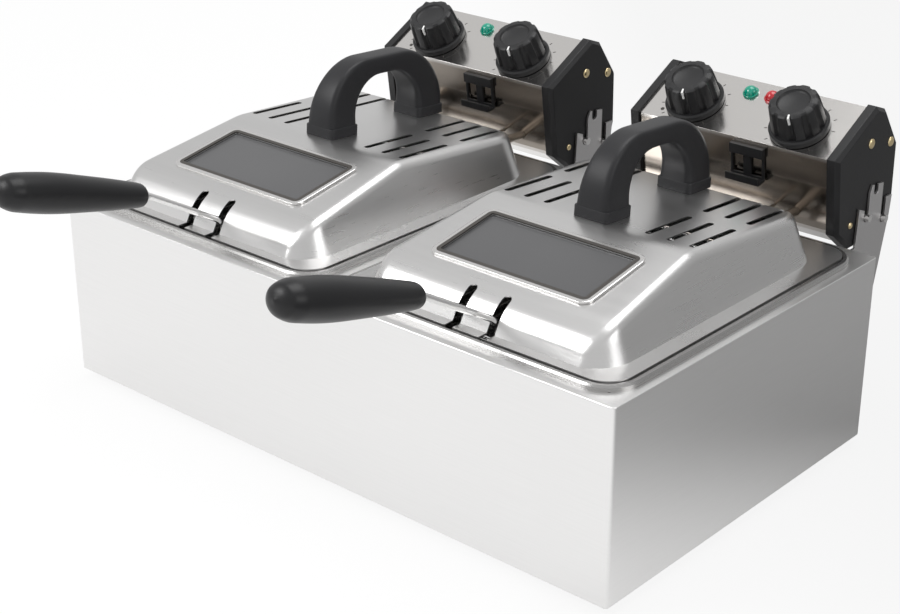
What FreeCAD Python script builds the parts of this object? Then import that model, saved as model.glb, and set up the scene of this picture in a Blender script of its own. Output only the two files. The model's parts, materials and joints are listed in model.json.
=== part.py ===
import FreeCAD, Part
import math
import os
from FreeCAD import Vector

# Twin-tank countertop deep fryer, in millimetres.
# X runs to the right, Y to the back, Z up. The pieces are drawn about the casing's middle on the table,
# and moved along Y at the end so that the origin lies under the middle of the whole outline.

# How finely round bars and small round pieces are faceted
bar_sides = 8
small_sides = 16
knob_sides = 48

# Casing
body_width = 540.0
body_depth = 322.0
body_height = 147.0
body_sheet = 1.2
body_corner = 3.0
top_flange = 16.0
foot_height = 8.0
foot_top_radius = 14.0
foot_bottom_radius = 12.0
foot_inset = 44.0
foot_recess_radius = 5.0
base_upstand = 16.0
base_slot_length = 40.0
base_slot_width = 5.0
base_slot_pitch = 14.0
base_slot_count = 6
rail_web = 22.0
rail_tab = 12.0

# Oil tanks
rim_gap = 14.0
rim_side_margin = 7.0
rim_end_margin = 9.5
rim_corner = 20.0
bead_width = 4.0
bead_height = 4.0
ledge_width = 7.5
tank_sheet = 1.0
tank_depth = 118.0
tank_floor_radius = 12.0

# Lids
lid_sheet = 1.0
lid_flange_margin = 1.5
lid_lip = 3.0
lid_side_land = 6.5
lid_side_lean = 0.45
lid_front_land = 2.0
lid_shoulder_setback = 6.0
lid_shoulder_rise = 22.0
lid_plateau_run = 141.0
lid_crease_rise = 42.0
lid_plateau_angle = 3.8
lid_rear_land = 15.5
lid_rear_setback = 6.0
lid_plan_radius = 32.0
lid_shoulder_radius = 12.0
lid_crease_radius = 40.0
lid_rear_radius = 10.0
lid_edge_radius = 10.0
lid_rear_notch_half = 72.0
wire_slot_width = 7.0
wire_slot_run = 20.0
vent_length = 54.0
vent_width = 5.0
vent_first = 45.0
vent_side_margin = 9.1
vent_columns = 3
vent_rows = (10.0, 81.0)
window_side_margin = 21.1
window_end_margin = 51.0
window_corner = 8.0
window_shift = 5.95
bezel_border = 6.5
bezel_height = 2.0
glass_thickness = 3.0
glass_border = 3.5
glass_play = 1.0
retainer_border = 3.5
retainer_sheet = 1.2

# Lid handles
handle_setback = 69.5
handle_length = 132.0
handle_height = 58.0
handle_foot = 30.0
handle_foot_width = 31.0
handle_top_width = 20.0
handle_top_thickness = 15.0
handle_plinth = 8.0
handle_plinth_step = 0.8
handle_outer_radius = 46.0
handle_inner_radius = 30.0
handle_inner_flat = 4.0

# Heating elements
element_radius = 3.5
element_lift = 10.0
element_run_pitch = 38.0
element_runs = 4
element_bend = 14.0
element_front_clear = 36.0
element_back_clear = 56.0
element_leg_clear = 9.5
element_exit_rise = 13.0
element_entry = 12.0
clamp_width = 12.0
clamp_sheet = 1.2
clamp_places = (-60.0, 50.0)
bulb_radius = 3.2
bulb_length = 90.0
capillary_radius = 1.2
tube_play = 0.25

# Baskets
basket_side_clear = 12.5
basket_front_clear = 16.0
basket_back_clear = 21.0
basket_top_drop = 6.0
mesh_wire = 2.0
mesh_pitch = 22.0
frame_radius = 2.5
frame_corner = 12.0
handle_wire_spread = 15.0
handle_wire_neck = 6.0
handle_wire_weld = 2.8
handle_wire_root = 52.0
handle_wire_bend = 14.0
handle_wire_rise = 30.0
handle_wire_bow = 16.0
grip_clear = 34.0
grip_length = 127.0
grip_angle = 17.0
grip_bore = 30.0
grip_sides = 20
grip_sections = ((0.0, 22.0, 18.0), (0.10, 25.0, 20.0), (0.36, 30.0, 25.0),
                 (0.68, 33.0, 29.0), (0.88, 31.0, 27.0), (0.97, 22.0, 18.0), (1.0, 10.0, 8.0))

# Control heads
head_half = 95.5
head_clear = 3.0
head_sheet = 1.2
head_drop = 13.0
head_lip_rise = 63.0
head_front_lean = 8.0
head_front_low = 3.0
head_panel_run = 53.0
head_panel_rise = 28.0
head_apex_run = 12.0
head_apex_fall = 4.5
head_depth = 87.0
head_back_high = 57.0
head_back_low = 13.0
head_under_front = 28.0
head_under_back = 79.0
head_seam = 39.0
head_tuck = 8.0
cap_thickness = 10.0
cap_proud = 2.0
cap_bevel = 3.0
seat_gap = 0.2

# Head brackets
bracket_sheet = 2.0
bracket_gap = 0.5
bracket_foot = 16.0
bracket_bottom = -85.0
bracket_top_front = 17.0
bracket_top_middle = 32.0
bracket_top_back = 16.0
bracket_front_run = 34.0
bracket_back_run = 85.0
bracket_waist_run = 71.0
bracket_waist_drop = -51.0
bracket_step = 14.0
bracket_ease = 2.0
bracket_shoulder = 3.0
bracket_toe_run = 6.0
bracket_toe_rise = 10.0
notch_half = 3.3
notch_front_run = 47.0
notch_front_rise = 7.2
notch_park_run = 59.0
notch_park_rise = 26.5
notch_back_run = 73.0
notch_back_rise = -0.4
pin_radius = 3.0
pin_reach = 6.0

# Controls on the sloping panel
knob_place = 47.5
knob_along = 24.0
knob_skirt_radius = 23.5
knob_skirt_height = 5.0
knob_skirt_chamfer = 1.2
knob_body_radius = 20.0
knob_top_radius = 17.0
knob_height = 27.0
knob_flutes = 10
knob_flute_depth = 2.2
knob_dish_radius = 12.5
knob_dish_depth = 2.0
knob_bore_depth = 14.0
knob_gap = 0.6
shaft_radius = 3.0
shaft_play = 0.05
control_width = 38.0
control_depth = 26.0
lamp_place = 9.8
lamp_along = 46.5
lamp_radius = 5.4
lamp_dome = 4.6
lamp_flange_radius = 6.4
lamp_flange = 1.4
lamp_stem_radius = 3.6
lamp_stem = 14.0
hook_offset = 16.0
hook_width = 30.0
hook_height = 28.0
hook_top_drop = 4.0
hook_sheet = 2.0
hook_reach = 10.0
hook_lip = 6.0
hook_bar = 8.0
hook_rib = 7.0
terminal_size = (56.0, 18.0, 16.0)
terminal_poles = 3
terminal_slot_share = 0.4
cutout_radius = 10.0
cutout_height = 18.0
gland_radius = 9.0
gland_bore = 4.2
gland_reach = 14.0
gland_rise = 10.0

# Heights and places that follow from the sizes above
deck_z = foot_height + body_height
ledge_z = deck_z + tank_sheet
bead_z = deck_z + bead_height
rim_width = (body_width - rim_gap) / 2 - rim_side_margin
rim_depth = body_depth - 2 * rim_end_margin
tank_pitch = rim_width + rim_gap
mouth_half_x = rim_width / 2 - bead_width - ledge_width
mouth_half_y = rim_depth / 2 - bead_width - ledge_width
floor_z = deck_z - tank_depth
element_z = floor_z + element_lift + element_radius
element_front = element_front_clear - mouth_half_y
element_back_turn = mouth_half_y - element_back_clear
element_leg_y = mouth_half_y - element_leg_clear
sensor_x = element_run_pitch
basket_half_width = mouth_half_x - basket_side_clear
basket_front = basket_front_clear - mouth_half_y
basket_back = mouth_half_y - basket_back_clear
basket_bottom_z = element_z + element_radius + clamp_sheet + seat_gap
basket_top_z = deck_z - basket_top_drop
lid_z = ledge_z + lid_lip + seat_gap
lid_crease_z = lid_z + lid_crease_rise
lid_base_half = mouth_half_x - lid_side_land
lid_top_half = lid_base_half - lid_side_lean * lid_crease_rise
lid_front = lid_front_land - mouth_half_y
lid_rear = mouth_half_y - lid_rear_land
lid_crease = lid_rear - lid_plateau_run
wire_slot_end = lid_front + wire_slot_run
vent_pitch = (lid_top_half - vent_side_margin - vent_first) / (vent_columns - 1)
window_width = 2 * (lid_top_half - window_side_margin)
window_length = lid_crease - lid_front - window_end_margin
window_centre = (lid_front + lid_crease) / 2 + window_shift
handle_centre = lid_crease + handle_setback
lid_front_slope = math.degrees(math.atan2(lid_crease_rise - lid_shoulder_rise,
                                          lid_crease - lid_front - lid_shoulder_setback))
back_y = body_depth / 2
grip_start = -back_y - grip_clear
bracket_front = back_y + bracket_front_run
bracket_back = back_y + bracket_back_run
bracket_waist = back_y + bracket_waist_run
notch_front = back_y + notch_front_run
notch_park = back_y + notch_park_run
notch_back = back_y + notch_back_run
head_y = back_y + head_clear
head_z = deck_z - head_drop
panel_angle = math.degrees(math.atan2(head_panel_rise, head_panel_run))
panel_lip = Vector(0, head_y, deck_z + head_lip_rise)
side_centres = (("left", -tank_pitch / 2), ("right", tank_pitch / 2))

os.makedirs("parts", exist_ok=True)


def box(x0, x1, y0, y1, z0, z1):
    """Box between two corners."""
    return Part.makeBox(x1 - x0, y1 - y0, z1 - z0, Vector(x0, y0, z0))


def rounded_wire(half_x, y0, y1, radius, z):
    """Rectangle with round corners, centred on X = 0, at height z."""
    r = radius
    corners = ((half_x - r, y0 + r, -90), (half_x - r, y1 - r, 0),
               (r - half_x, y1 - r, 90), (r - half_x, y0 + r, 180))
    edges = []
    ends = []
    for cx, cy, start in corners:
        circle = Part.Circle(Vector(cx, cy, z), Vector(0, 0, 1), r)
        arc = Part.Arc(circle, math.radians(start), math.radians(start + 90)).toShape()
        edges.append(arc)
        ends.append((arc.Vertexes[0].Point, arc.Vertexes[-1].Point))
    for i in range(4):
        line = Part.LineSegment(ends[i][1], ends[(i + 1) % 4][0]).toShape()
        edges.append(line)
    return Part.Wire(Part.__sortEdges__(edges))


def rounded_block(half_x, y0, y1, radius, z0, z1):
    """Upright block with a round-cornered plan."""
    face = Part.Face(rounded_wire(half_x, y0, y1, radius, z0))
    return face.extrude(Vector(0, 0, z1 - z0))


def profile_prism(points, x0, x1):
    """Polygon of (y, z) points carried along X."""
    wire = Part.makePolygon([Vector(x0, y, z) for y, z in points + points[:1]])
    return Part.Face(wire).extrude(Vector(x1 - x0, 0, 0))


def soft_profile_prism(points, radii, x0, x1):
    """Polygon of (y, z) points with rounded corners, carried along X."""
    edges = []
    joins = []
    count = len(points)
    for i in range(count):
        before = Vector(x0, *points[i - 1])
        here = Vector(x0, *points[i])
        after = Vector(x0, *points[(i + 1) % count])
        a = (before - here).normalize()
        b = (after - here).normalize()
        if radii[i] <= 0:
            joins.append((here, here))
            continue
        half = a.getAngle(b) / 2
        reach = radii[i] / math.tan(half)
        middle = here + (a + b).normalize() * (radii[i] / math.sin(half) - radii[i])
        joins.append((here + a * reach, here + b * reach))
        edges.append(Part.Arc(joins[-1][0], middle, joins[-1][1]).toShape())
    for i in range(count):
        edges.append(Part.LineSegment(joins[i][1], joins[(i + 1) % count][0]).toShape())
    wire = Part.Wire(Part.__sortEdges__(edges))
    return Part.Face(wire).extrude(Vector(x1 - x0, 0, 0))


def inset(points, distance):
    """Convex outline of (y, z) points moved inwards, or outwards for a negative distance."""
    moved = []
    middle_y = sum(p[0] for p in points) / len(points)
    middle_z = sum(p[1] for p in points) / len(points)
    lines = []
    for i, (y0, z0) in enumerate(points):
        y1, z1 = points[(i + 1) % len(points)]
        length = math.hypot(y1 - y0, z1 - z0)
        ny, nz = (z0 - z1) / length, (y1 - y0) / length
        if ny * (middle_y - y0) + nz * (middle_z - z0) < 0:
            ny, nz = -ny, -nz
        lines.append((ny, nz, ny * y0 + nz * z0 + distance))
    for i in range(len(lines)):
        a, b = lines[i - 1], lines[i]
        det = a[0] * b[1] - a[1] * b[0]
        moved.append(((a[2] * b[1] - a[1] * b[2]) / det, (a[0] * b[2] - a[2] * b[0]) / det))
    return moved


def ring(radius, z, sides, stretch=1.0):
    """Points of a regular outline round the Z axis, squeezed along Y by a stretch factor."""
    points = []
    for i in range(sides):
        angle = 2 * math.pi * (i + 0.5) / sides
        points.append(Vector(radius * math.cos(angle), stretch * radius * math.sin(angle), z))
    return points


def ring_solid(rings):
    """Closed solid through matching rings of points, with flat faces between them."""
    outlines = [rings[0], rings[-1]]
    for low, high in zip(rings, rings[1:]):
        for i in range(len(low)):
            j = (i + 1) % len(low)
            outlines.append([low[i], low[j], high[j]])
            outlines.append([low[i], high[j], high[i]])
    faces = [Part.Face(Part.makePolygon(points + points[:1])) for points in outlines]
    solid = Part.makeSolid(Part.makeShell(faces))
    if solid.Volume < 0:
        solid.reverse()
    return solid.removeSplitter()


def turned(steps, sides):
    """Many-sided turned piece through (radius, z) steps on the Z axis."""
    return ring_solid([ring(radius, z, sides) for radius, z in steps])


def bar_section(point, direction, normal, radius):
    """Many-sided face across a bar, with one side square to the normal."""
    across = direction.cross(normal).normalize()
    corners = []
    for place in ring(radius, 0, bar_sides):
        corners.append(point + across * place.x + normal * place.y)
    return Part.Face(Part.makePolygon(corners + corners[:1]))


def straight_bar(start, end, normal, radius):
    """Many-sided bar between two points."""
    direction = (end - start).normalize()
    return bar_section(start, direction, normal, radius).extrude(end - start)


def bent_bar(points, bend, radius, normal):
    """Many-sided bar along straight runs in one plane, joined by arcs of one bend radius."""
    pieces = []
    start = points[0]
    for i in range(1, len(points) - 1):
        a = (points[i - 1] - points[i]).normalize()
        b = (points[i + 1] - points[i]).normalize()
        half = a.getAngle(b) / 2
        reach = bend / math.tan(half)
        first = points[i] + a * reach
        centre = points[i] + (a + b).normalize() * (bend / math.sin(half))
        pieces.append(straight_bar(start, first, normal, radius))
        section = bar_section(first, a, normal, radius)
        pieces.append(section.revolve(centre, b.cross(a), 180 - math.degrees(2 * half)))
        start = points[i] + b * reach
    pieces.append(straight_bar(start, points[-1], normal, radius))
    return pieces[0].multiFuse(pieces[1:]).removeSplitter()


def rod(start, end, radius):
    """Cylinder between two points."""
    return Part.makeCylinder(radius, (end - start).Length, start, end - start)


def slot_block(x, y0, y1, width, z0, z1):
    """Upright slot cutter along Y with round ends."""
    r = width / 2
    body = box(x - r, x + r, y0 + r, y1 - r, z0, z1)
    for y in (y0 + r, y1 - r):
        body = body.fuse(Part.makeCylinder(r, z1 - z0, Vector(x, y, z0)))
    return body


def tilt(shape, angle, place):
    """Shape turned about X by an angle, then moved to its place."""
    turned = shape.copy()
    turned.rotate(Vector(0, 0, 0), Vector(1, 0, 0), angle)
    turned.translate(place)
    return turned


def on_panel(shape):
    """Shape from the sloping panel's own frame: Y up the slope, Z out of it."""
    return tilt(shape, panel_angle, panel_lip)


def on_window(shape):
    """Shape from the frame of the lid's window: Y up the front slope, Z out of it."""
    rise = (window_centre - lid_crease) * math.tan(math.radians(lid_front_slope))
    return tilt(shape, lid_front_slope, Vector(0, window_centre, lid_crease_z + rise))


def on_plateau(shape):
    """Shape from the frame of the lid's vented top at the handle's middle."""
    fall = (handle_centre - lid_crease) * math.tan(math.radians(lid_plateau_angle))
    return tilt(shape, -lid_plateau_angle, Vector(0, handle_centre, lid_crease_z - fall))


def body_shell():
    """Folded casing wrap: four walls and the flange that carries the tanks."""
    hx, hy = body_width / 2, body_depth / 2
    outer = rounded_block(hx, -hy, hy, body_corner, foot_height, deck_z)
    inner = rounded_block(hx - body_sheet, body_sheet - hy, hy - body_sheet, body_corner - body_sheet,
                          foot_height, deck_z - body_sheet)
    mouth = box(top_flange - hx, hx - top_flange, top_flange - hy, hy - top_flange, foot_height, deck_z)
    return outer.cut(inner).cut(mouth)


def centre_rail():
    """Inverted channel between the two tanks, tucked under the casing's flange at both ends."""
    half = tank_pitch / 2 - mouth_half_x - tank_sheet - seat_gap
    end = body_depth / 2 - top_flange - seat_gap
    top = box(-half, half, -end, end, deck_z - body_sheet, deck_z)
    low = deck_z - 2 * body_sheet
    tabs = box(-half, half, -end - rail_tab, end + rail_tab, low, deck_z - body_sheet)
    rail = top.fuse(tabs)
    for x in (-half, half - body_sheet):
        rail = rail.fuse(box(x, x + body_sheet, -end, end, low - rail_web, low))
    return rail.removeSplitter()


def foot_places():
    """Centres of the four feet."""
    x = body_width / 2 - foot_inset
    y = body_depth / 2 - foot_inset
    return [(sx * x, sy * y) for sx in (-1, 1) for sy in (-1, 1)]


def base_plate():
    """Bottom tray with upturned edges and air slots."""
    hx = body_width / 2 - body_sheet - seat_gap
    hy = body_depth / 2 - body_sheet - seat_gap
    top = foot_height + base_upstand
    floor = foot_height + body_sheet
    tray = rounded_block(hx, -hy, hy, body_corner, foot_height, top)
    tray = tray.cut(rounded_block(hx - body_sheet, body_sheet - hy, hy - body_sheet, body_corner - body_sheet,
                                  floor, top))
    half, wide = base_slot_length / 2, base_slot_width / 2
    for x_middle in (-tank_pitch / 2, tank_pitch / 2):
        for i in range(base_slot_count):
            x = x_middle + (i - (base_slot_count - 1) / 2) * base_slot_pitch
            tray = tray.cut(box(x - wide, x + wide, -half, half, foot_height, floor))
    return tray


def rubber_feet():
    """Four tapered rubber feet, each with a screw recess."""
    feet = []
    recess = foot_height / 2
    for x, y in foot_places():
        foot = turned(((foot_bottom_radius, 0), (foot_top_radius, foot_height)), small_sides)
        foot = foot.cut(turned(((foot_recess_radius, 0), (foot_recess_radius, recess)), small_sides))
        foot.translate(Vector(x, y, 0))
        feet.append(foot)
    return Part.makeCompound(feet)


def bracket_x():
    """Inner faces of a head's two brackets, and the way each one's foot turns."""
    inner = head_half + bracket_gap
    return ((-inner - bracket_sheet, -1), (inner, 1))


def bracket_plate(x):
    """Notched side plate that a control head hangs in."""
    z = deck_z
    outline = [(back_y, z + bracket_bottom),
               (bracket_waist - bracket_toe_run, z + bracket_bottom + bracket_toe_rise),
               (bracket_waist, z + bracket_waist_drop), (bracket_back - bracket_ease, z),
               (bracket_back, z + bracket_top_back), (notch_back + notch_half, z + bracket_top_back),
               (notch_back - notch_half, z + bracket_top_middle - bracket_ease),
               (notch_front + notch_half + bracket_shoulder, z + bracket_top_middle),
               (notch_front - notch_half, z + bracket_top_front - bracket_shoulder),
               (bracket_front + bracket_ease, z + bracket_top_front), (bracket_front, z - bracket_step),
               (back_y, z - bracket_step)]
    plate = profile_prism(outline, x, x + bracket_sheet)
    high = z + bracket_top_middle + bracket_ease
    notches = ((notch_front, notch_front_rise), (notch_park, notch_park_rise), (notch_back, notch_back_rise))
    for y, rise in notches:
        plate = plate.cut(box(x, x + bracket_sheet, y - notch_half, y + notch_half, z + rise, high))
        round_end = Part.makeCylinder(notch_half, bracket_sheet, Vector(x, y, z + rise), Vector(1, 0, 0))
        plate = plate.cut(round_end)
    return plate


def head_brackets():
    """Four notched brackets with feet on the casing's rear wall."""
    brackets = []
    for _, centre in side_centres:
        for x, way in bracket_x():
            plate = bracket_plate(centre + x)
            edge = centre + x + (bracket_sheet if way > 0 else 0)
            foot = box(min(edge, edge + way * bracket_foot), max(edge, edge + way * bracket_foot),
                       back_y, back_y + bracket_sheet, deck_z + bracket_bottom, deck_z - bracket_step)
            brackets.append(plate.fuse(foot).removeSplitter())
    return Part.makeCompound(brackets)


def tank():
    """Drawn oil tank: pan with a sloped floor edge, ledge for the lid and raised bead round the rim."""
    hx, hy = mouth_half_x, mouth_half_y
    corner = rim_corner
    t = tank_sheet
    outer = rounded_block(hx + t, -hy - t, hy + t, corner, floor_z - t, deck_z)
    outer = outer.makeChamfer(tank_floor_radius, [e for e in outer.Edges if e.BoundBox.ZMax < floor_z])
    inner = rounded_block(hx, -hy, hy, corner - t, floor_z, ledge_z)
    inner = inner.makeChamfer(tank_floor_radius - t, [e for e in inner.Edges if e.BoundBox.ZMax < floor_z + t])
    rx, ry = rim_width / 2, rim_depth / 2
    rim_round = corner + ledge_width
    rim = rounded_block(rx, -ry, ry, rim_round, deck_z, bead_z)
    rim = rim.makeChamfer(bead_width / 3, [e for e in rim.Edges if e.BoundBox.ZMin > bead_z - seat_gap])
    ledge = rounded_block(rx - bead_width, bead_width - ry, ry - bead_width, rim_round - bead_width,
                          ledge_z, bead_z)
    return outer.fuse(rim.cut(ledge)).cut(inner)


def lid_half(z):
    """Half width of the lid's raised form at a height."""
    return lid_base_half - lid_side_lean * (z - lid_z)


def lid_form(wall):
    """Hipped raised form of the lid, drawn in by one wall: a side profile met by leaning flanks."""
    top = lid_crease_z + lid_shoulder_rise
    fall = math.tan(math.radians(lid_plateau_angle))
    rear_top_y = lid_rear - lid_rear_setback
    low = lid_z - wall - lid_lip
    lean = lid_shoulder_setback / lid_shoulder_rise
    points = [(lid_front + lean * (low - lid_z), low),
              (lid_front + lid_shoulder_setback, lid_z + lid_shoulder_rise),
              (lid_crease, lid_crease_z),
              (rear_top_y, lid_crease_z - (rear_top_y - lid_crease) * fall),
              (lid_rear, low)]
    points = inset(points, wall)
    radii = (0, lid_shoulder_radius - wall, lid_crease_radius - wall, lid_rear_radius - wall, 0)
    profile = soft_profile_prism(points, radii, -lid_base_half, lid_base_half)
    front, back = lid_front - lid_lip + wall, lid_rear + lid_lip - wall
    w0, w1 = lid_half(low) - wall, lid_half(top) - wall
    gable = Part.makePolygon([Vector(-w0, front, low), Vector(w0, front, low), Vector(w1, front, top),
                              Vector(-w1, front, top), Vector(-w0, front, low)])
    flanks = Part.Face(gable).extrude(Vector(0, back - front, 0))
    corners = [e for e in flanks.Edges if e.BoundBox.ZMax - e.BoundBox.ZMin > lid_shoulder_rise]
    form = profile.common(flanks.makeFillet(lid_plan_radius - wall, corners))
    crests = [e for e in form.Edges if crest_edge(e, low)]
    return form.makeFillet(lid_edge_radius - wall, crests)


def crest_edge(edge, low):
    """True for an edge where the lid's top, front or back meets a flank."""
    bounds = edge.BoundBox
    return bounds.XMax - bounds.XMin < lid_base_half and bounds.ZMax > low + lid_lip


def window_ring(border_out, border_in, z0, z1):
    """Flat ring round the window, in the window's own frame."""
    half_x, half_y = window_width / 2, window_length / 2
    outer = rounded_block(half_x - border_out, border_out - half_y, half_y - border_out,
                          window_corner - min(border_out, window_corner / 2), z0, z1)
    inner = rounded_block(half_x - border_in, border_in - half_y, half_y - border_in,
                          max(window_corner - border_in, 1.5), z0, z1)
    return outer.cut(inner)


def window_block(border, z0, z1):
    """Round-cornered block in the window's own frame."""
    half_x, half_y = window_width / 2, window_length / 2
    return rounded_block(half_x - border, border - half_y, half_y - border,
                         max(window_corner - border, 1.5), z0, z1)


def vent_places():
    """Centre X and front end of every vent slot."""
    places = []
    for row in vent_rows:
        for i in range(vent_columns):
            for way in (-1, 1):
                places.append((way * (vent_first + i * vent_pitch), lid_crease + row))
    return places


def lid_shell():
    """Stamped lid: flange with a turned-down lip, hipped top, window, vents and wire slots."""
    half_x = rim_width / 2 - bead_width - lid_flange_margin
    y0 = lid_flange_margin + bead_width - rim_depth / 2
    y1 = -y0
    corner = rim_corner
    flange = rounded_block(half_x, y0, y1, corner, lid_z - lid_lip, lid_z + lid_sheet)
    lip_hollow = rounded_block(half_x - lid_sheet, y0 + lid_sheet, y1 - lid_sheet, corner - lid_sheet,
                               lid_z - lid_lip, lid_z)
    floor = box(-half_x, half_x, y0, y1, lid_z - 3 * lid_lip, lid_z)
    flange = flange.cut(lip_hollow)
    raised = lid_form(0).cut(floor)
    shell = flange.fuse(raised).cut(lid_form(lid_sheet))
    notch_y = lid_rear + lid_sheet
    high = lid_crease_z + lid_shoulder_rise
    notch = box(-lid_rear_notch_half, lid_rear_notch_half, notch_y, y1, lid_z - lid_lip, lid_z + lid_sheet)
    shell = shell.cut(notch)
    shell = shell.cut(on_window(window_block(glass_border - glass_play, -lid_shoulder_rise / 2, lid_lip)))
    for x, front in vent_places():
        shell = shell.cut(slot_block(x, front, front + vent_length, vent_width, lid_z + lid_lip, high))
    for x in (-handle_wire_spread, handle_wire_spread):
        shell = shell.cut(slot_block(x, y0 - wire_slot_width, wire_slot_end, wire_slot_width,
                                     lid_z - lid_lip, high))
    return shell


def window_bezel():
    """Bright frame on the lid round the window."""
    ring = window_ring(0, bezel_border, 0, bezel_height)
    top = [e for e in ring.Edges if e.BoundBox.ZMin > bezel_height / 2]
    return on_window(ring.makeChamfer(bezel_height / 4, top))


def window_glass():
    """Glass pane under the bezel."""
    return on_window(window_block(glass_border, -seat_gap - glass_thickness, -seat_gap))


def window_retainer():
    """Stepped ring under the lid that holds the pane up against the bezel."""
    under = -lid_sheet - seat_gap
    sill = -seat_gap - glass_thickness - seat_gap
    wall = window_ring(-retainer_border, glass_border - glass_play, sill, under)
    shelf = window_ring(-retainer_border, bezel_border, sill - retainer_sheet, sill)
    return on_window(wall.fuse(shelf).removeSplitter())


def lid_handle():
    """Moulded arch on two feet: a side profile met by a front profile that narrows to the top."""
    half = handle_length / 2
    top = handle_height
    bend = handle_outer_radius
    outer = [(-half, 0.0), (-half, top), (half, top), (half, 0.0)]
    side = soft_profile_prism(outer, (0, bend, bend, 0), -handle_foot_width, handle_foot_width)
    gap = half - handle_foot
    low = -handle_plinth
    inner = [(-gap, low), (-gap, top - handle_top_thickness), (gap, top - handle_top_thickness), (gap, low)]
    bend = min(handle_inner_radius, handle_length / 2 - handle_foot - handle_inner_flat)
    side = side.cut(soft_profile_prism(inner, (0, bend, bend, 0), -handle_foot_width, handle_foot_width))
    w0, w1 = handle_foot_width / 2, handle_top_width / 2
    neck = handle_plinth
    front = Part.makePolygon([Vector(-w0 + handle_plinth_step, -half, 0), Vector(-w0 + handle_plinth_step, -half, neck),
                              Vector(-w1, -half, top), Vector(w1, -half, top),
                              Vector(w0 - handle_plinth_step, -half, neck), Vector(w0 - handle_plinth_step, -half, 0),
                              Vector(-w0 + handle_plinth_step, -half, 0)])
    arch = side.common(Part.Face(front).extrude(Vector(0, handle_length, 0)))
    for way in (-1, 1):
        y0, y1 = sorted((way * half, way * gap))
        arch = arch.fuse(box(-w0, w0, y0, y1, 0, handle_plinth))
    return on_plateau(arch.removeSplitter())


def element_rows():
    """X places of the element's runs."""
    return [(i - (element_runs - 1) / 2) * element_run_pitch for i in range(element_runs)]


def head_front_y(z):
    """Depth of the head's lower front wall at a height."""
    low, high = head_outline()[0], head_outline()[1]
    share = (z - low[1]) / (high[1] - low[1])
    return low[0] + share * (high[0] - low[0])


def element_exit_z():
    """Height at which the element's legs cross the tank rim."""
    return deck_z + element_exit_rise


def heating_element():
    """One tubular heater: two legs over the rim, and long runs joined by half turns on the tank floor."""
    rows = element_rows()
    turn = element_run_pitch / 2
    entry_y = head_front_y(element_exit_z()) + element_entry
    front_y, back_y = element_front + turn, element_back_turn - turn
    pieces = []
    for x in (rows[0], rows[-1]):
        points = [Vector(x, entry_y, element_exit_z()), Vector(x, element_leg_y, element_exit_z()),
                  Vector(x, element_leg_y, element_z), Vector(x, front_y, element_z)]
        pieces.append(bent_bar(points, element_bend, element_radius, Vector(1, 0, 0)))
    for x in rows[1:-1]:
        pieces.append(straight_bar(Vector(x, front_y, element_z), Vector(x, back_y, element_z),
                                   Vector(1, 0, 0), element_radius))
    for i in range(element_runs - 1):
        front = i % 2 == 0
        y = front_y if front else back_y
        section = bar_section(Vector(rows[i], y, element_z), Vector(0, 1, 0), Vector(1, 0, 0), element_radius)
        pieces.append(section.revolve(Vector(rows[i] + turn, y, element_z),
                                      Vector(0, 0, 1 if front else -1), 180))
    return pieces[0].multiFuse(pieces[1:]).removeSplitter()


def element_clamp():
    """Two flat strips across the element's runs."""
    half = element_rows()[-1] + 2 * element_radius
    z = element_z + element_radius
    wide = clamp_width / 2
    strips = [box(-half, half, y - wide, y + wide, z, z + clamp_sheet) for y in clamp_places]
    return Part.makeCompound(strips)


def sensor_bulb():
    """Thermostat bulb between two runs of the element, with its capillary up to the head."""
    x = sensor_x
    entry_y = head_front_y(element_exit_z()) + element_entry
    z = element_z + element_radius - bulb_radius
    rear = clamp_places[1] + bulb_length / 2
    points = [Vector(x, entry_y, element_exit_z()), Vector(x, element_leg_y, element_exit_z()),
              Vector(x, element_leg_y, z), Vector(x, rear - bulb_radius, z)]
    capillary = bent_bar(points, element_bend, capillary_radius, Vector(1, 0, 0))
    bulb = straight_bar(Vector(x, rear, z), Vector(x, rear - bulb_length, z), Vector(1, 0, 0), bulb_radius)
    return capillary.fuse(bulb)


def mesh_bars():
    """Square wires of the basket: floor and four walls, each with an inner and an outer layer."""
    w = mesh_wire
    hx = basket_half_width
    y0, y1 = basket_front, basket_back
    z0, z1 = basket_bottom_z, basket_top_z
    bars = []
    across = evenly(-hx + 2 * w, hx - 2 * w)
    along = evenly(y0 + 2 * w, y1 - 2 * w)
    upward = evenly(z0 + 3 * w, z1)[:-1]
    for x in across:
        bars.append(box(x - w / 2, x + w / 2, y0 + 2 * w, y1 - 2 * w, z0 + w, z0 + 2 * w))
        for y in (y0 + w, y1 - 2 * w):
            bars.append(box(x - w / 2, x + w / 2, y, y + w, z0 + w, z1))
    for y in along:
        bars.append(box(-hx + 2 * w, hx - 2 * w, y - w / 2, y + w / 2, z0, z0 + w))
        for x in (-hx + w, hx - 2 * w):
            bars.append(box(x, x + w, y - w / 2, y + w / 2, z0, z1))
    for z in upward:
        for y in (y0, y1 - w):
            bars.append(box(-hx, hx, y, y + w, z - w / 2, z + w / 2))
        for x in (-hx, hx - w):
            bars.append(box(x, x + w, y0 + w, y1 - w, z - w / 2, z + w / 2))
    return bars


def evenly(start, end):
    """Wire places from start to end at about the mesh pitch."""
    count = max(2, round((end - start) / mesh_pitch))
    return [start + mesh_wire / 2 + i * (end - start - mesh_wire) / count for i in range(count + 1)]


def basket_mesh():
    """Wire mesh of a basket."""
    return Part.makeCompound(mesh_bars())


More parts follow.
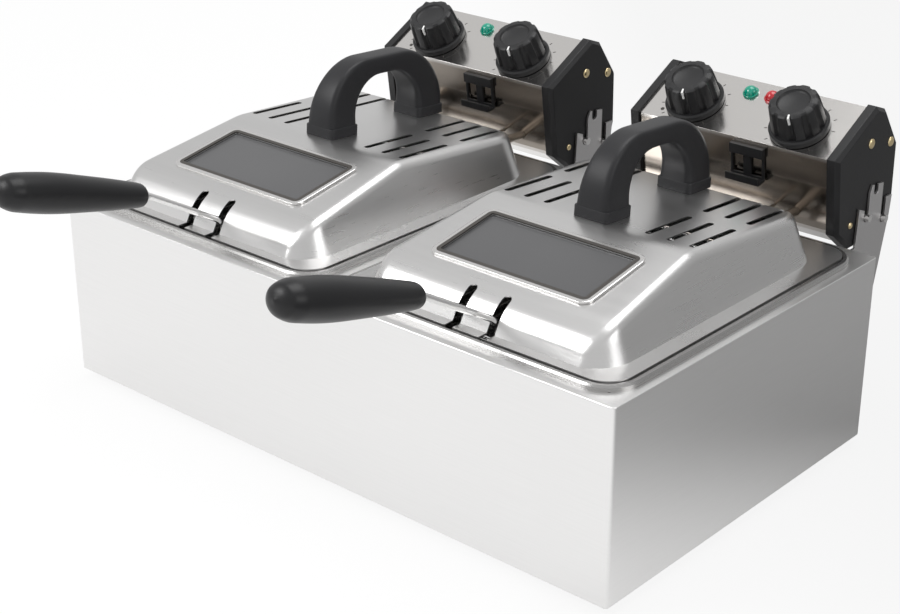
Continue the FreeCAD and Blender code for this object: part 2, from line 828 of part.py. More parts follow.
def handle_wire_paths():
    """Centre lines of the two wires from the basket's front up to the grip."""
    y = basket_front - handle_wire_weld * frame_radius
    z = basket_top_z - frame_radius
    slope = math.tan(math.radians(handle_wire_rise))
    turn_z = bead_z + handle_wire_bow - handle_wire_bend / 2
    paths = []
    for way in (-1, 1):
        spread, neck = way * handle_wire_spread, way * handle_wire_neck
        wide_y = y - 1.7 * handle_wire_bend
        narrow_y = grip_start + handle_wire_neck / 2
        wide_z = turn_z + (y - wide_y) * slope
        narrow_z = turn_z + (y - narrow_y) * slope
        end = grip_bore * 0.9
        tip = Vector(neck, narrow_y - end * math.cos(math.radians(grip_angle)),
                     narrow_z + end * math.sin(math.radians(grip_angle)))
        points = [Vector(spread, y, z - handle_wire_root), Vector(spread, y, turn_z),
                  Vector(spread, wide_y, wide_z), Vector(neck, narrow_y, narrow_z), tip]
        paths.append(points)
    return paths


def handle_wire(points):
    """One handle wire: up from the basket, over the rim and into the grip."""
    sideways = Vector(1, 0, 0)
    lower = bent_bar(points[:3], handle_wire_bend, frame_radius, sideways)
    pieces = []
    for start, end in zip(points[2:], points[3:]):
        pieces.append(straight_bar(start, end, square_to(start - end, sideways), frame_radius))
    return lower.multiFuse(pieces)


def square_to(direction, near):
    """Unit vector square to a direction, in the plane of that direction and a nearby one."""
    return direction.cross(near).cross(direction).normalize()


def basket_rim():
    """Closed round wire just outside the top of the mesh."""
    z = basket_top_z - frame_radius
    r = frame_radius
    hx = basket_half_width + r
    y0, y1 = basket_front - r, basket_back + r
    corners = [Vector(hx, y0, z), Vector(hx, y1, z), Vector(-hx, y1, z), Vector(-hx, y0, z)]
    start = Vector(0, y0, z)
    return bent_bar([start] + corners + [start], frame_corner, r, Vector(0, 0, 1))


def basket_frame():
    """Rim wire round the basket's top, with the two handle wires welded to it."""
    return basket_rim().multiFuse([handle_wire(points) for points in handle_wire_paths()])


def basket_grip():
    """Moulded grip: ellipses along a rising line, with bores for the two wires."""
    paths = handle_wire_paths()
    start = Vector(0, grip_start, paths[0][3].z)
    rings = []
    for share, width, thickness in grip_sections:
        rings.append(ring(width / 2, share * grip_length, grip_sides, thickness / width))
    grip = tilt(ring_solid(rings), 90 - grip_angle, start)
    for points in paths:
        grip = grip.cut(rod(points[3], points[4], frame_radius + shaft_play))
        grip = grip.cut(rod(points[3], points[2], frame_radius + shaft_play))
    return grip


def head_outline():
    """Outline of a control head seen from its side, as (y, z) points from the lower front, clockwise."""
    z = head_z
    y = head_y
    lip_z = deck_z + head_lip_rise
    apex_y = y + head_panel_run
    apex_z = lip_z + head_panel_rise
    return [(y + head_front_lean, deck_z + head_front_low), (y, lip_z), (apex_y, apex_z),
            (apex_y + head_apex_run, apex_z - head_apex_fall), (y + head_depth - 1, deck_z + head_back_high),
            (y + head_depth, deck_z + head_back_low), (y + head_under_back, z), (y + head_under_front, z)]


def head_span():
    """Half length of the head between its end caps."""
    return head_half - cap_thickness


def head_cover():
    """Folded cover: upper front, sloping control panel and back."""
    half = head_span()
    outer = profile_prism(head_outline(), -half, half)
    inner = profile_prism(inset(head_outline(), head_sheet), -half, half)
    cover = outer.cut(inner)
    far = head_y + 2 * head_depth
    cover = cover.cut(box(-half, half, 0, far, 0, deck_z + head_seam))
    for x in (-knob_place, knob_place):
        hole = Part.makeCylinder(shaft_radius + 2.2, 4 * head_sheet, Vector(x, knob_along, -2 * head_sheet))
        cover = cover.cut(on_panel(hole))
    for x in (-lamp_place, lamp_place):
        hole = Part.makeCylinder(lamp_stem_radius + tube_play, 4 * head_sheet,
                                 Vector(x, lamp_along, -2 * head_sheet))
        cover = cover.cut(on_panel(hole))
    return cover


def head_base():
    """Lower tray of the head, tucked inside the cover, with holes for the heater, sensor and gland."""
    half = head_span()
    skin = head_sheet + seat_gap
    outer = profile_prism(inset(head_outline(), skin), -half, half)
    inner = profile_prism(inset(head_outline(), skin + head_sheet), -half, half)
    tray = outer.cut(inner)
    far = head_y + 2 * head_depth
    tray = tray.cut(box(-half, half, 0, far, deck_z + head_seam + head_tuck, 2 * deck_z))
    z = element_exit_z()
    y = head_front_y(z)
    for x, radius in ((element_rows()[0], element_radius), (element_rows()[-1], element_radius), (sensor_x, capillary_radius)):
        tray = tray.cut(rod(Vector(x, y - element_entry, z), Vector(x, y + element_entry, z), radius + tube_play))
    tray = tray.cut(rod(gland_point(0), gland_point(-4 * head_sheet), gland_radius * 0.7 + tube_play))
    return tray


def gland_point(out):
    """Point on the gland's axis, measured outwards from the head's lower back."""
    return Vector(0, head_y + head_depth + out - head_sheet - seat_gap, deck_z + head_back_low + gland_rise)


def cable_gland():
    """Gland in the head's lower back, through which a lead would enter."""
    neck = gland_radius * 0.7
    inside = 5 * head_sheet
    steps = ((neck, -inside), (neck, seat_gap), (gland_radius, seat_gap), (gland_radius, gland_reach - 2),
             (gland_radius - 2, gland_reach))
    gland = turned(steps[:2], small_sides).fuse(turned(steps[2:], small_sides))
    gland = gland.cut(turned(((gland_bore, -inside), (gland_bore, gland_reach)), small_sides))
    return tilt(gland, -90, gland_point(0))


def cap_faces():
    """Inner X face of each end cap and the way it faces."""
    span = head_span()
    return ((-span, -1), (span, 1))


def pin_points():
    """Places of the two pins on an end cap: seated in the front and back notches."""
    return [(notch_front, deck_z + notch_front_rise + notch_half - pin_radius),
            (notch_back, deck_z + notch_back_rise + notch_half - pin_radius)]


def end_caps():
    """Two moulded end caps with bevelled faces and holes for the pins."""
    caps = []
    outline = inset(head_outline(), -cap_proud)
    for x, way in cap_faces():
        cap = profile_prism(outline, x, x + way * cap_thickness)
        face_x = x + way * cap_thickness
        rim = [e for e in cap.Edges if abs(e.BoundBox.XMin - face_x) < 0.01 and abs(e.BoundBox.XMax - face_x) < 0.01]
        cap = cap.makeChamfer(cap_bevel, rim)
        across = Vector(way, 0, 0)
        for y, z in pin_points():
            cap = cap.cut(Part.makeCylinder(pin_radius + shaft_play, cap_thickness, Vector(x, y, z), across))
        caps.append(cap)
    return Part.makeCompound(caps)


def pivot_pins():
    """Steel pins that stand out of the end caps into the brackets' notches."""
    pins = []
    for x, way in cap_faces():
        for y, z in pin_points():
            pins.append(Part.makeCylinder(pin_radius, cap_thickness + pin_reach, Vector(x, y, z), Vector(way, 0, 0)))
    return Part.makeCompound(pins)


def control_body(place):
    """Switch body under the panel with its bush and shaft."""
    half = control_width / 2
    under = -head_sheet - seat_gap
    y0 = knob_along - half
    body = box(place - half, place + half, y0, y0 + control_width, under - control_depth, under)
    bush = Part.makeCylinder(shaft_radius + 2, -under + seat_gap / 2, Vector(place, knob_along, under))
    shaft = Part.makeCylinder(shaft_radius, knob_bore_depth - 1 - under, Vector(place, knob_along, under))
    return on_panel(body.fuse(bush).fuse(shaft))


def fluted_ring(radius, depth, z):
    """Points of a fluted outline: broad ridges with shallow finger grooves between them."""
    points = []
    for i in range(knob_flutes):
        for share, inward in ((0.0, 0.0), (0.25, 0.0), (0.5, 0.0), (0.62, depth), (0.88, depth)):
            angle = 2 * math.pi * (i + share) / knob_flutes
            reach = radius - inward
            points.append(Vector(reach * math.cos(angle), reach * math.sin(angle), z))
    return points


def knob(place):
    """Fluted knob on a round skirt, dished on top, bored for its shaft."""
    z0 = knob_gap
    z1 = z0 + knob_skirt_height
    z2 = z0 + knob_height
    bevel = knob_skirt_chamfer
    skirt = turned(((knob_skirt_radius, z0), (knob_skirt_radius, z1 - bevel), (knob_skirt_radius - bevel, z1)), knob_sides)
    body = ring_solid([fluted_ring(knob_body_radius, knob_flute_depth, z1),
                       fluted_ring(knob_top_radius, knob_flute_depth / 2, z2 - bevel),
                       fluted_ring(knob_top_radius - bevel, knob_flute_depth / 2, z2)])
    dish = turned(((knob_dish_radius - knob_dish_depth, z2 - knob_dish_depth), (knob_dish_radius, z2)), knob_sides // 2)
    cap = skirt.fuse(body).cut(dish)
    cap = cap.cut(Part.makeCylinder(shaft_radius + shaft_play, knob_bore_depth, Vector(0, 0, 0)))
    cap.translate(Vector(place, knob_along, 0))
    return on_panel(cap)


def pilot_lamp(place):
    """Jewel lamp: domed lens with a flange on the panel and a stem through it."""
    seat = seat_gap / 2
    flat = seat + lamp_flange
    dome = [(lamp_radius * math.cos(turn), flat + lamp_dome * math.sin(turn)) for turn in (0.0, 0.5, 1.0, 1.35)]
    stem = turned(((lamp_stem_radius, seat - lamp_stem), (lamp_stem_radius, seat)), small_sides)
    flange = turned(((lamp_flange_radius, seat), (lamp_flange_radius, flat)), small_sides)
    lamp = stem.fuse(flange).fuse(turned(dome, small_sides))
    lamp.translate(Vector(place, lamp_along, 0))
    return on_panel(lamp)


def front_tilt():
    """Lean of the head's front wall from upright, in degrees."""
    low, high = head_outline()[0], head_outline()[1]
    return math.degrees(math.atan2(low[0] - high[0], high[1] - low[1]))


def drain_hook():
    """Bracket on the head's front that a basket is hung on: pierced plate, thick top bar, ledge and lip."""
    w, h = hook_width / 2, hook_height
    plate = box(-w, w, -hook_sheet, 0, -h, 0)
    for x0, x1 in ((-w + hook_sheet, -hook_rib / 2), (hook_rib / 2, w - hook_sheet)):
        plate = plate.cut(box(x0, x1, -hook_sheet, 0, 2 * hook_sheet - h, -hook_bar))
    bar = box(-w, w, -2 * hook_sheet, -hook_sheet, -hook_bar, 0)
    ledge = box(-w, w, -hook_reach, -hook_sheet, -h, hook_sheet - h)
    lip = box(-w, w, -hook_reach, hook_sheet - hook_reach, -h, hook_lip - h)
    hook = plate.fuse(bar).fuse(ledge).fuse(lip).removeSplitter()
    drop = hook_top_drop
    shift = drop * math.tan(math.radians(front_tilt()))
    place = Vector(hook_offset, head_y + shift, deck_z + head_lip_rise - drop)
    return tilt(hook, front_tilt(), place)


def tray_floor_z():
    """Height of the inside of the head's tray."""
    return head_z + 2 * head_sheet + seat_gap


def terminal_y():
    """Depth of the middle of the tray's floor."""
    return head_y + (head_under_front + head_under_back) / 2


def terminal_block():
    """Terminal block on the tray's floor."""
    w, d, h = terminal_size
    y = terminal_y()
    z = tray_floor_z()
    block = box(-w / 2, w / 2, y - d / 2, y + d / 2, z, z + h)
    pole = w / terminal_poles
    top = z + h
    for i in range(terminal_poles):
        x = (i + 0.5) * pole - w / 2
        block = block.cut(box(x - pole / 3, x + pole / 3, y - d / 2, y + d / 2, top - terminal_slot_share * h, top))
    return block


def thermal_cutout():
    """Round safety cut-out on the tray's floor."""
    steps = ((cutout_radius, 0), (cutout_radius, cutout_height), (cutout_radius / 3, cutout_height),
             (cutout_radius / 3, 1.3 * cutout_height))
    can = turned(steps[:2], small_sides).fuse(turned(steps[2:], small_sides))
    can.translate(Vector(head_span() - 3 * cutout_radius, terminal_y(), tray_floor_z()))
    return can


common_parts = {
    "body_shell": body_shell, "centre_rail": centre_rail, "base_plate": base_plate,
    "rubber_feet": rubber_feet, "head_brackets": head_brackets,
}
side_parts = {
    "tank": tank, "heating_element": heating_element, "element_clamp": element_clamp, "sensor_bulb": sensor_bulb,
    "basket_mesh": basket_mesh, "basket_frame": basket_frame, "basket_grip": basket_grip,
    "lid_shell": lid_shell, "window_bezel": window_bezel, "window_glass": window_glass,
    "window_retainer": window_retainer, "lid_handle": lid_handle,
    "head_base": head_base, "head_cover": head_cover, "end_caps": end_caps,
    "pivot_pins": pivot_pins, "drain_hook": drain_hook, "terminal_block": terminal_block,
    "thermal_cutout": thermal_cutout, "cable_gland": cable_gland,
    "timer_body": lambda: control_body(-knob_place), "thermostat_body": lambda: control_body(knob_place),
    "timer_knob": lambda: knob(-knob_place), "thermostat_knob": lambda: knob(knob_place),
    "green_lamp": lambda: pilot_lamp(-lamp_place), "red_lamp": lambda: pilot_lamp(lamp_place),
}

shapes = {name: make() for name, make in common_parts.items()}
for name, make in side_parts.items():
    shape = make()
    for side, centre in side_centres:
        copy = shape.copy()
        copy.translate(Vector(centre, 0, 0))
        shapes[side + "_" + name] = copy

bounds = FreeCAD.BoundBox()
for shape in shapes.values():
    bounds.add(shape.BoundBox)
for name, shape in shapes.items():
    shape.translate(Vector(0, -bounds.Center.y, 0))
    shape.exportStep("parts/" + name + ".step")
print("origin moved along Y by", round(-bounds.Center.y, 3))
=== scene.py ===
# %% [markdown]
# A countertop deep fryer with two oil tanks, each with a wire basket, a pressed lid and a control head.
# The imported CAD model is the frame: every piece made here sits where its CAD node says and rides on the
# same body, so the lids, baskets, heads and knobs still move. Sizes below are in millimetres, drawn about
# the middle of the casing, and one function turns them into the frame's metres.

# %% Load the frame
import bpy
import json
import math
import numpy as np
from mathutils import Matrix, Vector

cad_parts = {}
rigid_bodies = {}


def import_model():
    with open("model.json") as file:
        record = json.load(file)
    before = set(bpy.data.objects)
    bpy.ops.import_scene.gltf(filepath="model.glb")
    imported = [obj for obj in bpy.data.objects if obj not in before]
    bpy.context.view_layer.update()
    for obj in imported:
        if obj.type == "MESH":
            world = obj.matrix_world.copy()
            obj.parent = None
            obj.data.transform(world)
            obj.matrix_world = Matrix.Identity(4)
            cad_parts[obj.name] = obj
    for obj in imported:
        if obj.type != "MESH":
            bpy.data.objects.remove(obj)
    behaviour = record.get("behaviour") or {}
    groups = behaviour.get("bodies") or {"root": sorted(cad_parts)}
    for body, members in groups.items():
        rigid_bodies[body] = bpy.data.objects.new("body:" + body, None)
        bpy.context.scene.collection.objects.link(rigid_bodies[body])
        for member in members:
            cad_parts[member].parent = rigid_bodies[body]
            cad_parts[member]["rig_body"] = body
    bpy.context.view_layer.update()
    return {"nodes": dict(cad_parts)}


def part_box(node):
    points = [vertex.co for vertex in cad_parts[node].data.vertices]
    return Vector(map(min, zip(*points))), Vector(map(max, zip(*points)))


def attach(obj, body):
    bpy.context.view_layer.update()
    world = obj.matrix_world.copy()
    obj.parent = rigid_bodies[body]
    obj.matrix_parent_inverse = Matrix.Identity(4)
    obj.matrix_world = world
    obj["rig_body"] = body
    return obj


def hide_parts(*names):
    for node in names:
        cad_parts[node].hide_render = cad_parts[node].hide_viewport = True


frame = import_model()
MM = 0.001
SIDES = ("left", "right")
casing_low, casing_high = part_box("body_shell")
casing_y = (casing_low[1] + casing_high[1]) / 2
deck = casing_high[2] / MM
back_wall = (casing_high[1] - casing_y) / MM


def side_x(side):
    """Middle of one tank across the fryer, in millimetres."""
    low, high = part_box(side + "_tank")
    return (low[0] + high[0]) / 2 / MM


def metres(points, side=None):
    """Points drawn in millimetres about the casing's middle (or one tank's middle), in the frame's metres."""
    shift = np.array([side_x(side) if side else 0.0, casing_y / MM, 0.0])
    return (np.asarray(points, float) + shift) * MM


# %% [markdown]
# Finishes are node graphs. Wrapping a socket in a small class lets a graph be written as arithmetic:
# `streak * 0.2 + 0.3` makes the Math nodes. Anything else is one call to `node`. The same graphs could be
# wired by hand in the editor, but written this way a finish fits in a few lines that can be compared.

# %% Sockets that add and multiply


class Signal:
    """One output socket of a shader graph, with arithmetic that makes Math nodes."""

    def __init__(self, tree, socket):
        self.tree = tree
        self.socket = socket

    def node(self, kind, inputs=None, out=0, **settings):
        """Any other node: its inputs by name or number, its output by name or number."""
        made = self.tree.nodes.new(kind)
        for key, value in settings.items():
            setattr(made, key, value)
        for key, value in (inputs or {}).items():
            feed(self.tree, made.inputs[key], value)
        return Signal(self.tree, made.outputs[out])

    def math(self, operation, first, second, **settings):
        """One Math node on two values."""
        return self.node("ShaderNodeMath", {0: first, 1: second}, operation=operation, **settings)

    def clamped(self, scale, shift=0.0):
        """This value times a scale, plus a shift, held between 0 and 1."""
        return self.math("ADD", self * scale, shift, use_clamp=True)

    def axes(self):
        """The three axes of this vector, each a signal."""
        made = self.node("ShaderNodeSeparateXYZ", {0: self}).socket.node
        return [Signal(self.tree, axis) for axis in made.outputs]

    def __add__(self, other):
        return self.math("ADD", self, other)

    def __sub__(self, other):
        return self.math("SUBTRACT", self, other)

    def __rsub__(self, other):
        return self.math("SUBTRACT", other, self)

    def __mul__(self, other):
        return self.math("MULTIPLY", self, other)

    __radd__ = __add__
    __rmul__ = __mul__

    def stretched(self, scale):
        """This vector with its axes scaled, which stretches the pattern that reads it."""
        return self.node("ShaderNodeMapping", {"Vector": self, "Scale": scale})

    def noise(self, scale, detail=2.0):
        """Noise read at this vector, about 0.5 on average."""
        return self.node("ShaderNodeTexNoise", {"Vector": self, "Scale": scale, "Detail": detail})

    def between(self, low, high):
        """Colour mixed from low to high by this value."""
        mix = self.tree.nodes.new("ShaderNodeMix")
        mix.data_type = "RGBA"
        feed(self.tree, mix.inputs["Factor"], self)
        for socket in mix.inputs:
            if socket.type == "RGBA":
                socket.default_value = (*(low if socket.name == "A" else high), 1.0)
        return Signal(self.tree, [s for s in mix.outputs if s.type == "RGBA"][0])


def feed(tree, socket, value):
    """Links a signal to a socket, or sets a plain value on it."""
    if isinstance(value, Signal):
        tree.links.new(value.socket, socket)
    else:
        socket.default_value = value


class Finish:
    """A material with one main shader, the object's own coordinates, and sockets fed by name."""

    def __init__(self, name, colour, metallic=0.0, roughness=0.5, **constants):
        self.material = bpy.data.materials.new(name)
        self.material.use_nodes = True
        self.tree = self.material.node_tree
        self.shader = self.tree.nodes["Principled BSDF"]
        self.shader.inputs["Base Color"].default_value = (*colour, 1.0)
        self.shader.inputs["Metallic"].default_value = metallic
        self.shader.inputs["Roughness"].default_value = roughness
        for key, value in constants.items():
            self.shader.inputs[key.replace("_", " ")].default_value = value
        place = self.tree.nodes.new("ShaderNodeTexCoord")
        self.point = Signal(self.tree, place.outputs["Object"])

    def set(self, **signals):
        """Feeds sockets of the main shader, with underscores for the spaces in their names."""
        for key, value in signals.items():
            feed(self.tree, self.shader.inputs[key.replace("_", " ")], value)
        return self

    def bump(self, height, strength, distance):
        """Tilts the shading as if the surface rose with the height signal."""
        made = height.node("ShaderNodeBump", {"Height": height, "Strength": strength, "Distance": distance})
        return self.set(Normal=made)


print("socket helper ready")

# %% [markdown]
# Most of the fryer is stainless sheet. Its grain is thousands of fine parallel scratches, so one noise
# stretched along the grain varies the roughness, a slower one clouds it, and the colour hardly changes.
# An image would also do, but the stretched noise has no seams and stays sharp close up.

# %% Steel finishes
CLOUD_SCALE = 9.0
GRAIN_SHADE = 0.95
SCRATCH_STRENGTH, SCRATCH_RELIEF = 0.04, 0.3 * MM


def grained_steel(name, colour, roughness, grain, depth=0.05, cloud=0.05):
    """Brushed sheet: roughness = base + depth * scratches + cloud * slow noise, scratches along the grain."""
    finish = Finish(name, colour, metallic=1.0, roughness=roughness)
    scratches = finish.point.stretched(grain).noise(1.0, 3.0)
    clouds = finish.point.noise(CLOUD_SCALE)
    finish.set(Roughness=scratches * depth + clouds * cloud + (roughness - (depth + cloud) / 2))
    low = tuple(c * GRAIN_SHADE for c in colour)
    finish.set(Base_Color=scratches.between(low, colour))
    return finish.bump(scratches, SCRATCH_STRENGTH, SCRATCH_RELIEF)


ALONG_X = (18.0, 900.0, 900.0)
LEVEL = (18.0, 30.0, 900.0)
ALONG_Y = (900.0, 18.0, 900.0)
casing_steel = grained_steel("casing_steel", (0.86, 0.855, 0.85), 0.33, LEVEL)
lid_steel = grained_steel("lid_steel", (0.72, 0.715, 0.71), 0.29, LEVEL, 0.07, 0.06)
head_steel = grained_steel("head_steel", (0.72, 0.70, 0.68), 0.17, ALONG_X)
# The tank's steel is painted much darker than the casing's: painted shade and painted reflection along the
# rim at the casing's top.
tank_steel = grained_steel("tank_steel", (0.46, 0.455, 0.45), 0.27, ALONG_Y)
plate_steel = grained_steel("plate_steel", (0.62, 0.61, 0.61), 0.36, ALONG_X)
bright_steel = grained_steel("bright_steel", (0.80, 0.79, 0.78), 0.16, ALONG_X, 0.03, 0.03)
wire_steel = grained_steel("wire_steel", (0.86, 0.855, 0.85), 0.2, ALONG_Y, 0.04, 0.03)
print("steel finishes made")

# %% [markdown]
# The fronts of the heads below the panel's lip are painted darker and brownish: painted shade and painted
# reflection under the overhanging lip. Paint on a mask could show it, but the shaded part is simply what lies
# lower than the lip and ahead of the panel's back, so two clamped slopes of the object's own coordinates are
# the mask, and they need no unwrapping.

# %% Painted shade on the heads
LIP_HEIGHT = 217.0 * MM
FRONT_DEPTH = casing_y + 182.0 * MM
SHADE_EDGE = 0.4 / MM
UNSHADED_HEAD, SHADED_HEAD = (0.74, 0.72, 0.70), (0.40, 0.36, 0.32)
_, depth, height = head_steel.point.axes()
# Painted shade and reflection: the head's front is darker and brownish below the lip and ahead of the panel's
# back.
painted_shade = (LIP_HEIGHT - height).clamped(SHADE_EDGE) * (FRONT_DEPTH - depth).clamped(SHADE_EDGE)
head_steel.set(Base_Color=painted_shade.between(UNSHADED_HEAD, SHADED_HEAD))
print("stain edge", round(1 / SHADE_EDGE / MM, 1), "mm wide")

# %% [markdown]
# The heaters are the same steel after many hot hours, darker and a little straw coloured. The screws of the
# end caps are brass. Knobs, grips, handles and end caps are black mouldings: a fine grain as a bump keeps
# their highlights soft, as on the real plastic.

# %% Plastic, brass, rubber, glass and lamps
GRAIN_SCALE = 900.0
GRAIN_SPREAD = 0.1
GRAIN_STRENGTH, GRAIN_RELIEF = 0.12, 0.2 * MM


def moulding(name, colour, roughness):
    """Moulding with a fine spark-eroded grain: roughness = base + spread * (noise - 0.5)."""
    finish = Finish(name, colour, roughness=roughness, Specular_IOR_Level=0.35)
    grains = finish.point.noise(GRAIN_SCALE)
    finish.set(Roughness=grains * GRAIN_SPREAD + (roughness - GRAIN_SPREAD / 2))
    return finish.bump(grains, GRAIN_STRENGTH, GRAIN_RELIEF)


heater = Finish("heater_steel", (0.3, 0.27, 0.24), metallic=1.0, roughness=0.38)
tint = heater.point.noise(14.0, 3.0)
heater.set(Base_Color=tint.between((0.24, 0.2, 0.17), (0.42, 0.38, 0.33)))
brass = Finish("screw_brass", (0.83, 0.68, 0.4), metallic=1.0, roughness=0.28)
handle_black = moulding("handle_black", (0.019, 0.019, 0.021), 0.42)
grip_black = moulding("grip_black", (0.011, 0.011, 0.012), 0.36)
cap_black = moulding("cap_black", (0.014, 0.014, 0.015), 0.44)
knob_black = moulding("knob_black", (0.02, 0.02, 0.021), 0.4)
inner_dark = moulding("inner_dark", (0.06, 0.055, 0.05), 0.5)
foot_rubber = moulding("foot_rubber", (0.02, 0.02, 0.02), 0.7)
mark_white = Finish("mark_white", (0.85, 0.85, 0.84), roughness=0.5)
green_lens = Finish("green_lens", (0.0, 0.30, 0.2), roughness=0.12, Coat_Weight=0.6)
red_lens = Finish("red_lens", (0.5, 0.01, 0.02), roughness=0.12, Coat_Weight=0.6)
window_glass = Finish("window_glass", (0.09, 0.09, 0.093), roughness=0.2)
smoke = window_glass.point.noise(6.0)
window_glass.set(Base_Color=smoke.between((0.075, 0.075, 0.078), (0.11, 0.11, 0.113)))
window_glass.set(Roughness=smoke * 0.1 + 0.2)
print("mouldings, brass, glass and lamps made")

# %% [markdown]
# A surface is a grid of points worked out as one numpy array, rows along one parameter and columns along
# the other. One helper turns any such grid into a closed mesh: it wraps round the columns, and its ends are
# joined or capped. A closed mesh has a volume, and the sign of the volume tells whether its faces point out.

# %% From grids of points to meshes


def grid_faces(rows, columns, closed=False):
    """Quads between neighbouring rows and columns of a grid, wrapping round columns and, if closed, rows."""
    i = np.arange(rows if closed else rows - 1)[:, None]
    j = np.arange(columns)[None, :]
    here, there, next_j = i * columns, (i + 1) % rows * columns, (j + 1) % columns
    quad = np.stack(np.broadcast_arrays(here + j, here + next_j, there + next_j, there + j), -1)
    return quad.reshape(-1, 4)


def new_mesh(name, points, faces, crease=35.0):
    """Mesh from points in metres and lists of faces, smooth but for edges sharper than the crease angle."""
    mesh = bpy.data.meshes.new(name)
    mesh.from_pydata(np.asarray(points).reshape(-1, 3).tolist(), [], faces)
    mesh.validate()
    mesh.polygons.foreach_set("use_smooth", np.ones(len(mesh.polygons), bool))
    mesh.set_sharp_from_angle(angle=math.radians(crease))
    return mesh


def fan_volume(rings):
    """Six times the signed volume under many-sided faces, each a fan of triangles from its first corner."""
    return np.einsum("fij,fj->", np.cross(rings[:, 1:-1], rings[:, 2:]), rings[:, 0])


def surface(name, grid, closed=False, crease=35.0):
    """Closed mesh of a grid that wraps round its columns; its end rows are joined or get flat caps."""
    rows, columns = grid.shape[:2]
    sheets = [grid_faces(rows, columns, closed)]
    if not closed:
        end = np.arange(columns)[None]
        sheets += [end[:, ::-1], end + (rows - 1) * columns]
    corner = grid.reshape(-1, 3)
    way = 1 if sum(fan_volume(corner[sheet]) for sheet in sheets) > 0 else -1
    faces = [face for sheet in sheets for face in sheet[:, ::way].tolist()]
    return new_mesh(name, grid, faces, crease)


def place_piece(name, mesh, finish, body, slot, replaces=()):
    """Object from a mesh in frame metres, riding on a body and standing for its CAD nodes."""
    piece = bpy.data.objects.new(name, mesh)
    bpy.context.scene.collection.objects.link(piece)
    mesh.materials.append(finish.material)
    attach(piece, body)
    if replaces:
        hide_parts(*replaces)
    return piece


print("mesh helpers ready")

# %% [markdown]
# The front of each lid runs down in a soft nose below the window. It could be sculpted, but a formula on the
# lid's own points is exact: their height falls with the square of the distance past the window, which keeps
# the slope smooth where the bend begins. The CAD's large flat triangles have too few points to follow it, so
# their long edges are halved first. Neighbours share an edge's middle, so no gap opens.

# %% The nose of the lids
NOSE_START = -106.0
NOSE_RUN = 28.0
NOSE_DROP = 0.5
NOSE_EDGE = 9.0
NOSE_ROUNDS = 6
LID_FLANGE = deck + 5.2
SPLITS = {
    0: [(0, 1, 2)],
    1: [(0, 3, 2), (3, 1, 2)],
    2: [(3, 1, 4), (0, 3, 4), (0, 4, 2)],
    3: [(0, 3, 5), (3, 1, 4), (5, 4, 2), (3, 4, 5)],
}


def fine_front(points, faces):
    """The same triangles with the long edges of the lid's front halved: corners 0 to 2, middles 3 to 5."""
    start = casing_y + NOSE_START * MM
    for _ in range(NOSE_ROUNDS):
        edges = np.sort(np.stack([faces, np.roll(faces, -1, 1)], -1), -1)
        pairs, edge = np.unique(edges.reshape(-1, 2), axis=0, return_inverse=True)
        one, two = points[pairs[:, 0]], points[pairs[:, 1]]
        long = np.minimum(one[:, 1], two[:, 1]) < start
        long &= np.linalg.norm(one - two, axis=1) > NOSE_EDGE * MM
        middles = np.where(long, len(points) + np.cumsum(long) - 1, -1)[edge.reshape(-1, 3)]
        points = np.concatenate([points, (one + two)[long] / 2])
        cut = middles >= 0
        count = cut.sum(1)
        first = np.select([count == 1, count == 2], [cut.argmax(1), cut.argmin(1) + 1])
        order = (first[:, None] + np.arange(3)) % 3
        six = np.concatenate([np.take_along_axis(table, order, 1) for table in (faces, middles)], 1)
        faces = np.concatenate([six[count == n][:, split].reshape(-1, 3) for n, split in SPLITS.items()])
    return points, faces


def nosed(points):
    """Front drawn down: height over the flange * (1 - drop * t^2), t from 0 at the window to 1 in front."""
    t = np.clip((NOSE_START - (points[:, 1] - casing_y) / MM) / NOSE_RUN, 0, 1)
    height = np.clip(points[:, 2] - LID_FLANGE * MM, 0, None)
    return points - np.outer(height * NOSE_DROP * t ** 2, (0.0, 0.0, 1.0))


print("nose helper ready")

# %% [markdown]
# Folded and pressed sheet keeps its CAD shape, but the CAD mesh is loose flat triangles. It could be drawn
# again, but a copy with its doubles merged has the right shape already and can be shaded smoothly, and a fine
# bevel on its folds catches light as real bends do.

# %% Smooth skins over the CAD sheet parts
MERGE = 1e-5
FLAT_LIMIT = math.radians(0.4)
FOLD_LIMIT = math.radians(40)


def skin(node, finish, slot, bevel=0.0, crease=32.0, nose=False):
    """Merged copy of a CAD node: corners closer than a hundredth of a millimetre become one."""
    source = frame["nodes"][node].data
    corner = np.empty(len(source.vertices) * 3)
    source.vertices.foreach_get("co", corner)
    corner = corner.reshape(-1, 3)
    loops = np.empty(len(source.loops), int)
    source.loops.foreach_get("vertex_index", loops)
    keys = np.round(corner / MERGE).astype(np.int64)
    _, first, merged = np.unique(keys, axis=0, return_index=True, return_inverse=True)
    points, faces = corner[first], merged.reshape(-1)[loops].reshape(-1, 3)
    faces = faces[(faces != np.roll(faces, 1, 1)).all(1)]
    if nose:
        points, faces = fine_front(points, faces)
        points = nosed(points)
    mesh = new_mesh(node + "_skin", points, faces.tolist(), crease)
    body = frame["nodes"][node]["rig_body"]
    piece = place_piece(node + "_skin", mesh, finish, body, slot, (node,))
    if bevel:
        flat = piece.modifiers.new("flat_faces", "DECIMATE")
        flat.decimate_type = "DISSOLVE"
        flat.angle_limit = FLAT_LIMIT
        edge = piece.modifiers.new("fold", "BEVEL")
        edge.width = bevel * MM
        edge.segments = 2
        edge.limit_method = "ANGLE"
        edge.angle_limit = FOLD_LIMIT


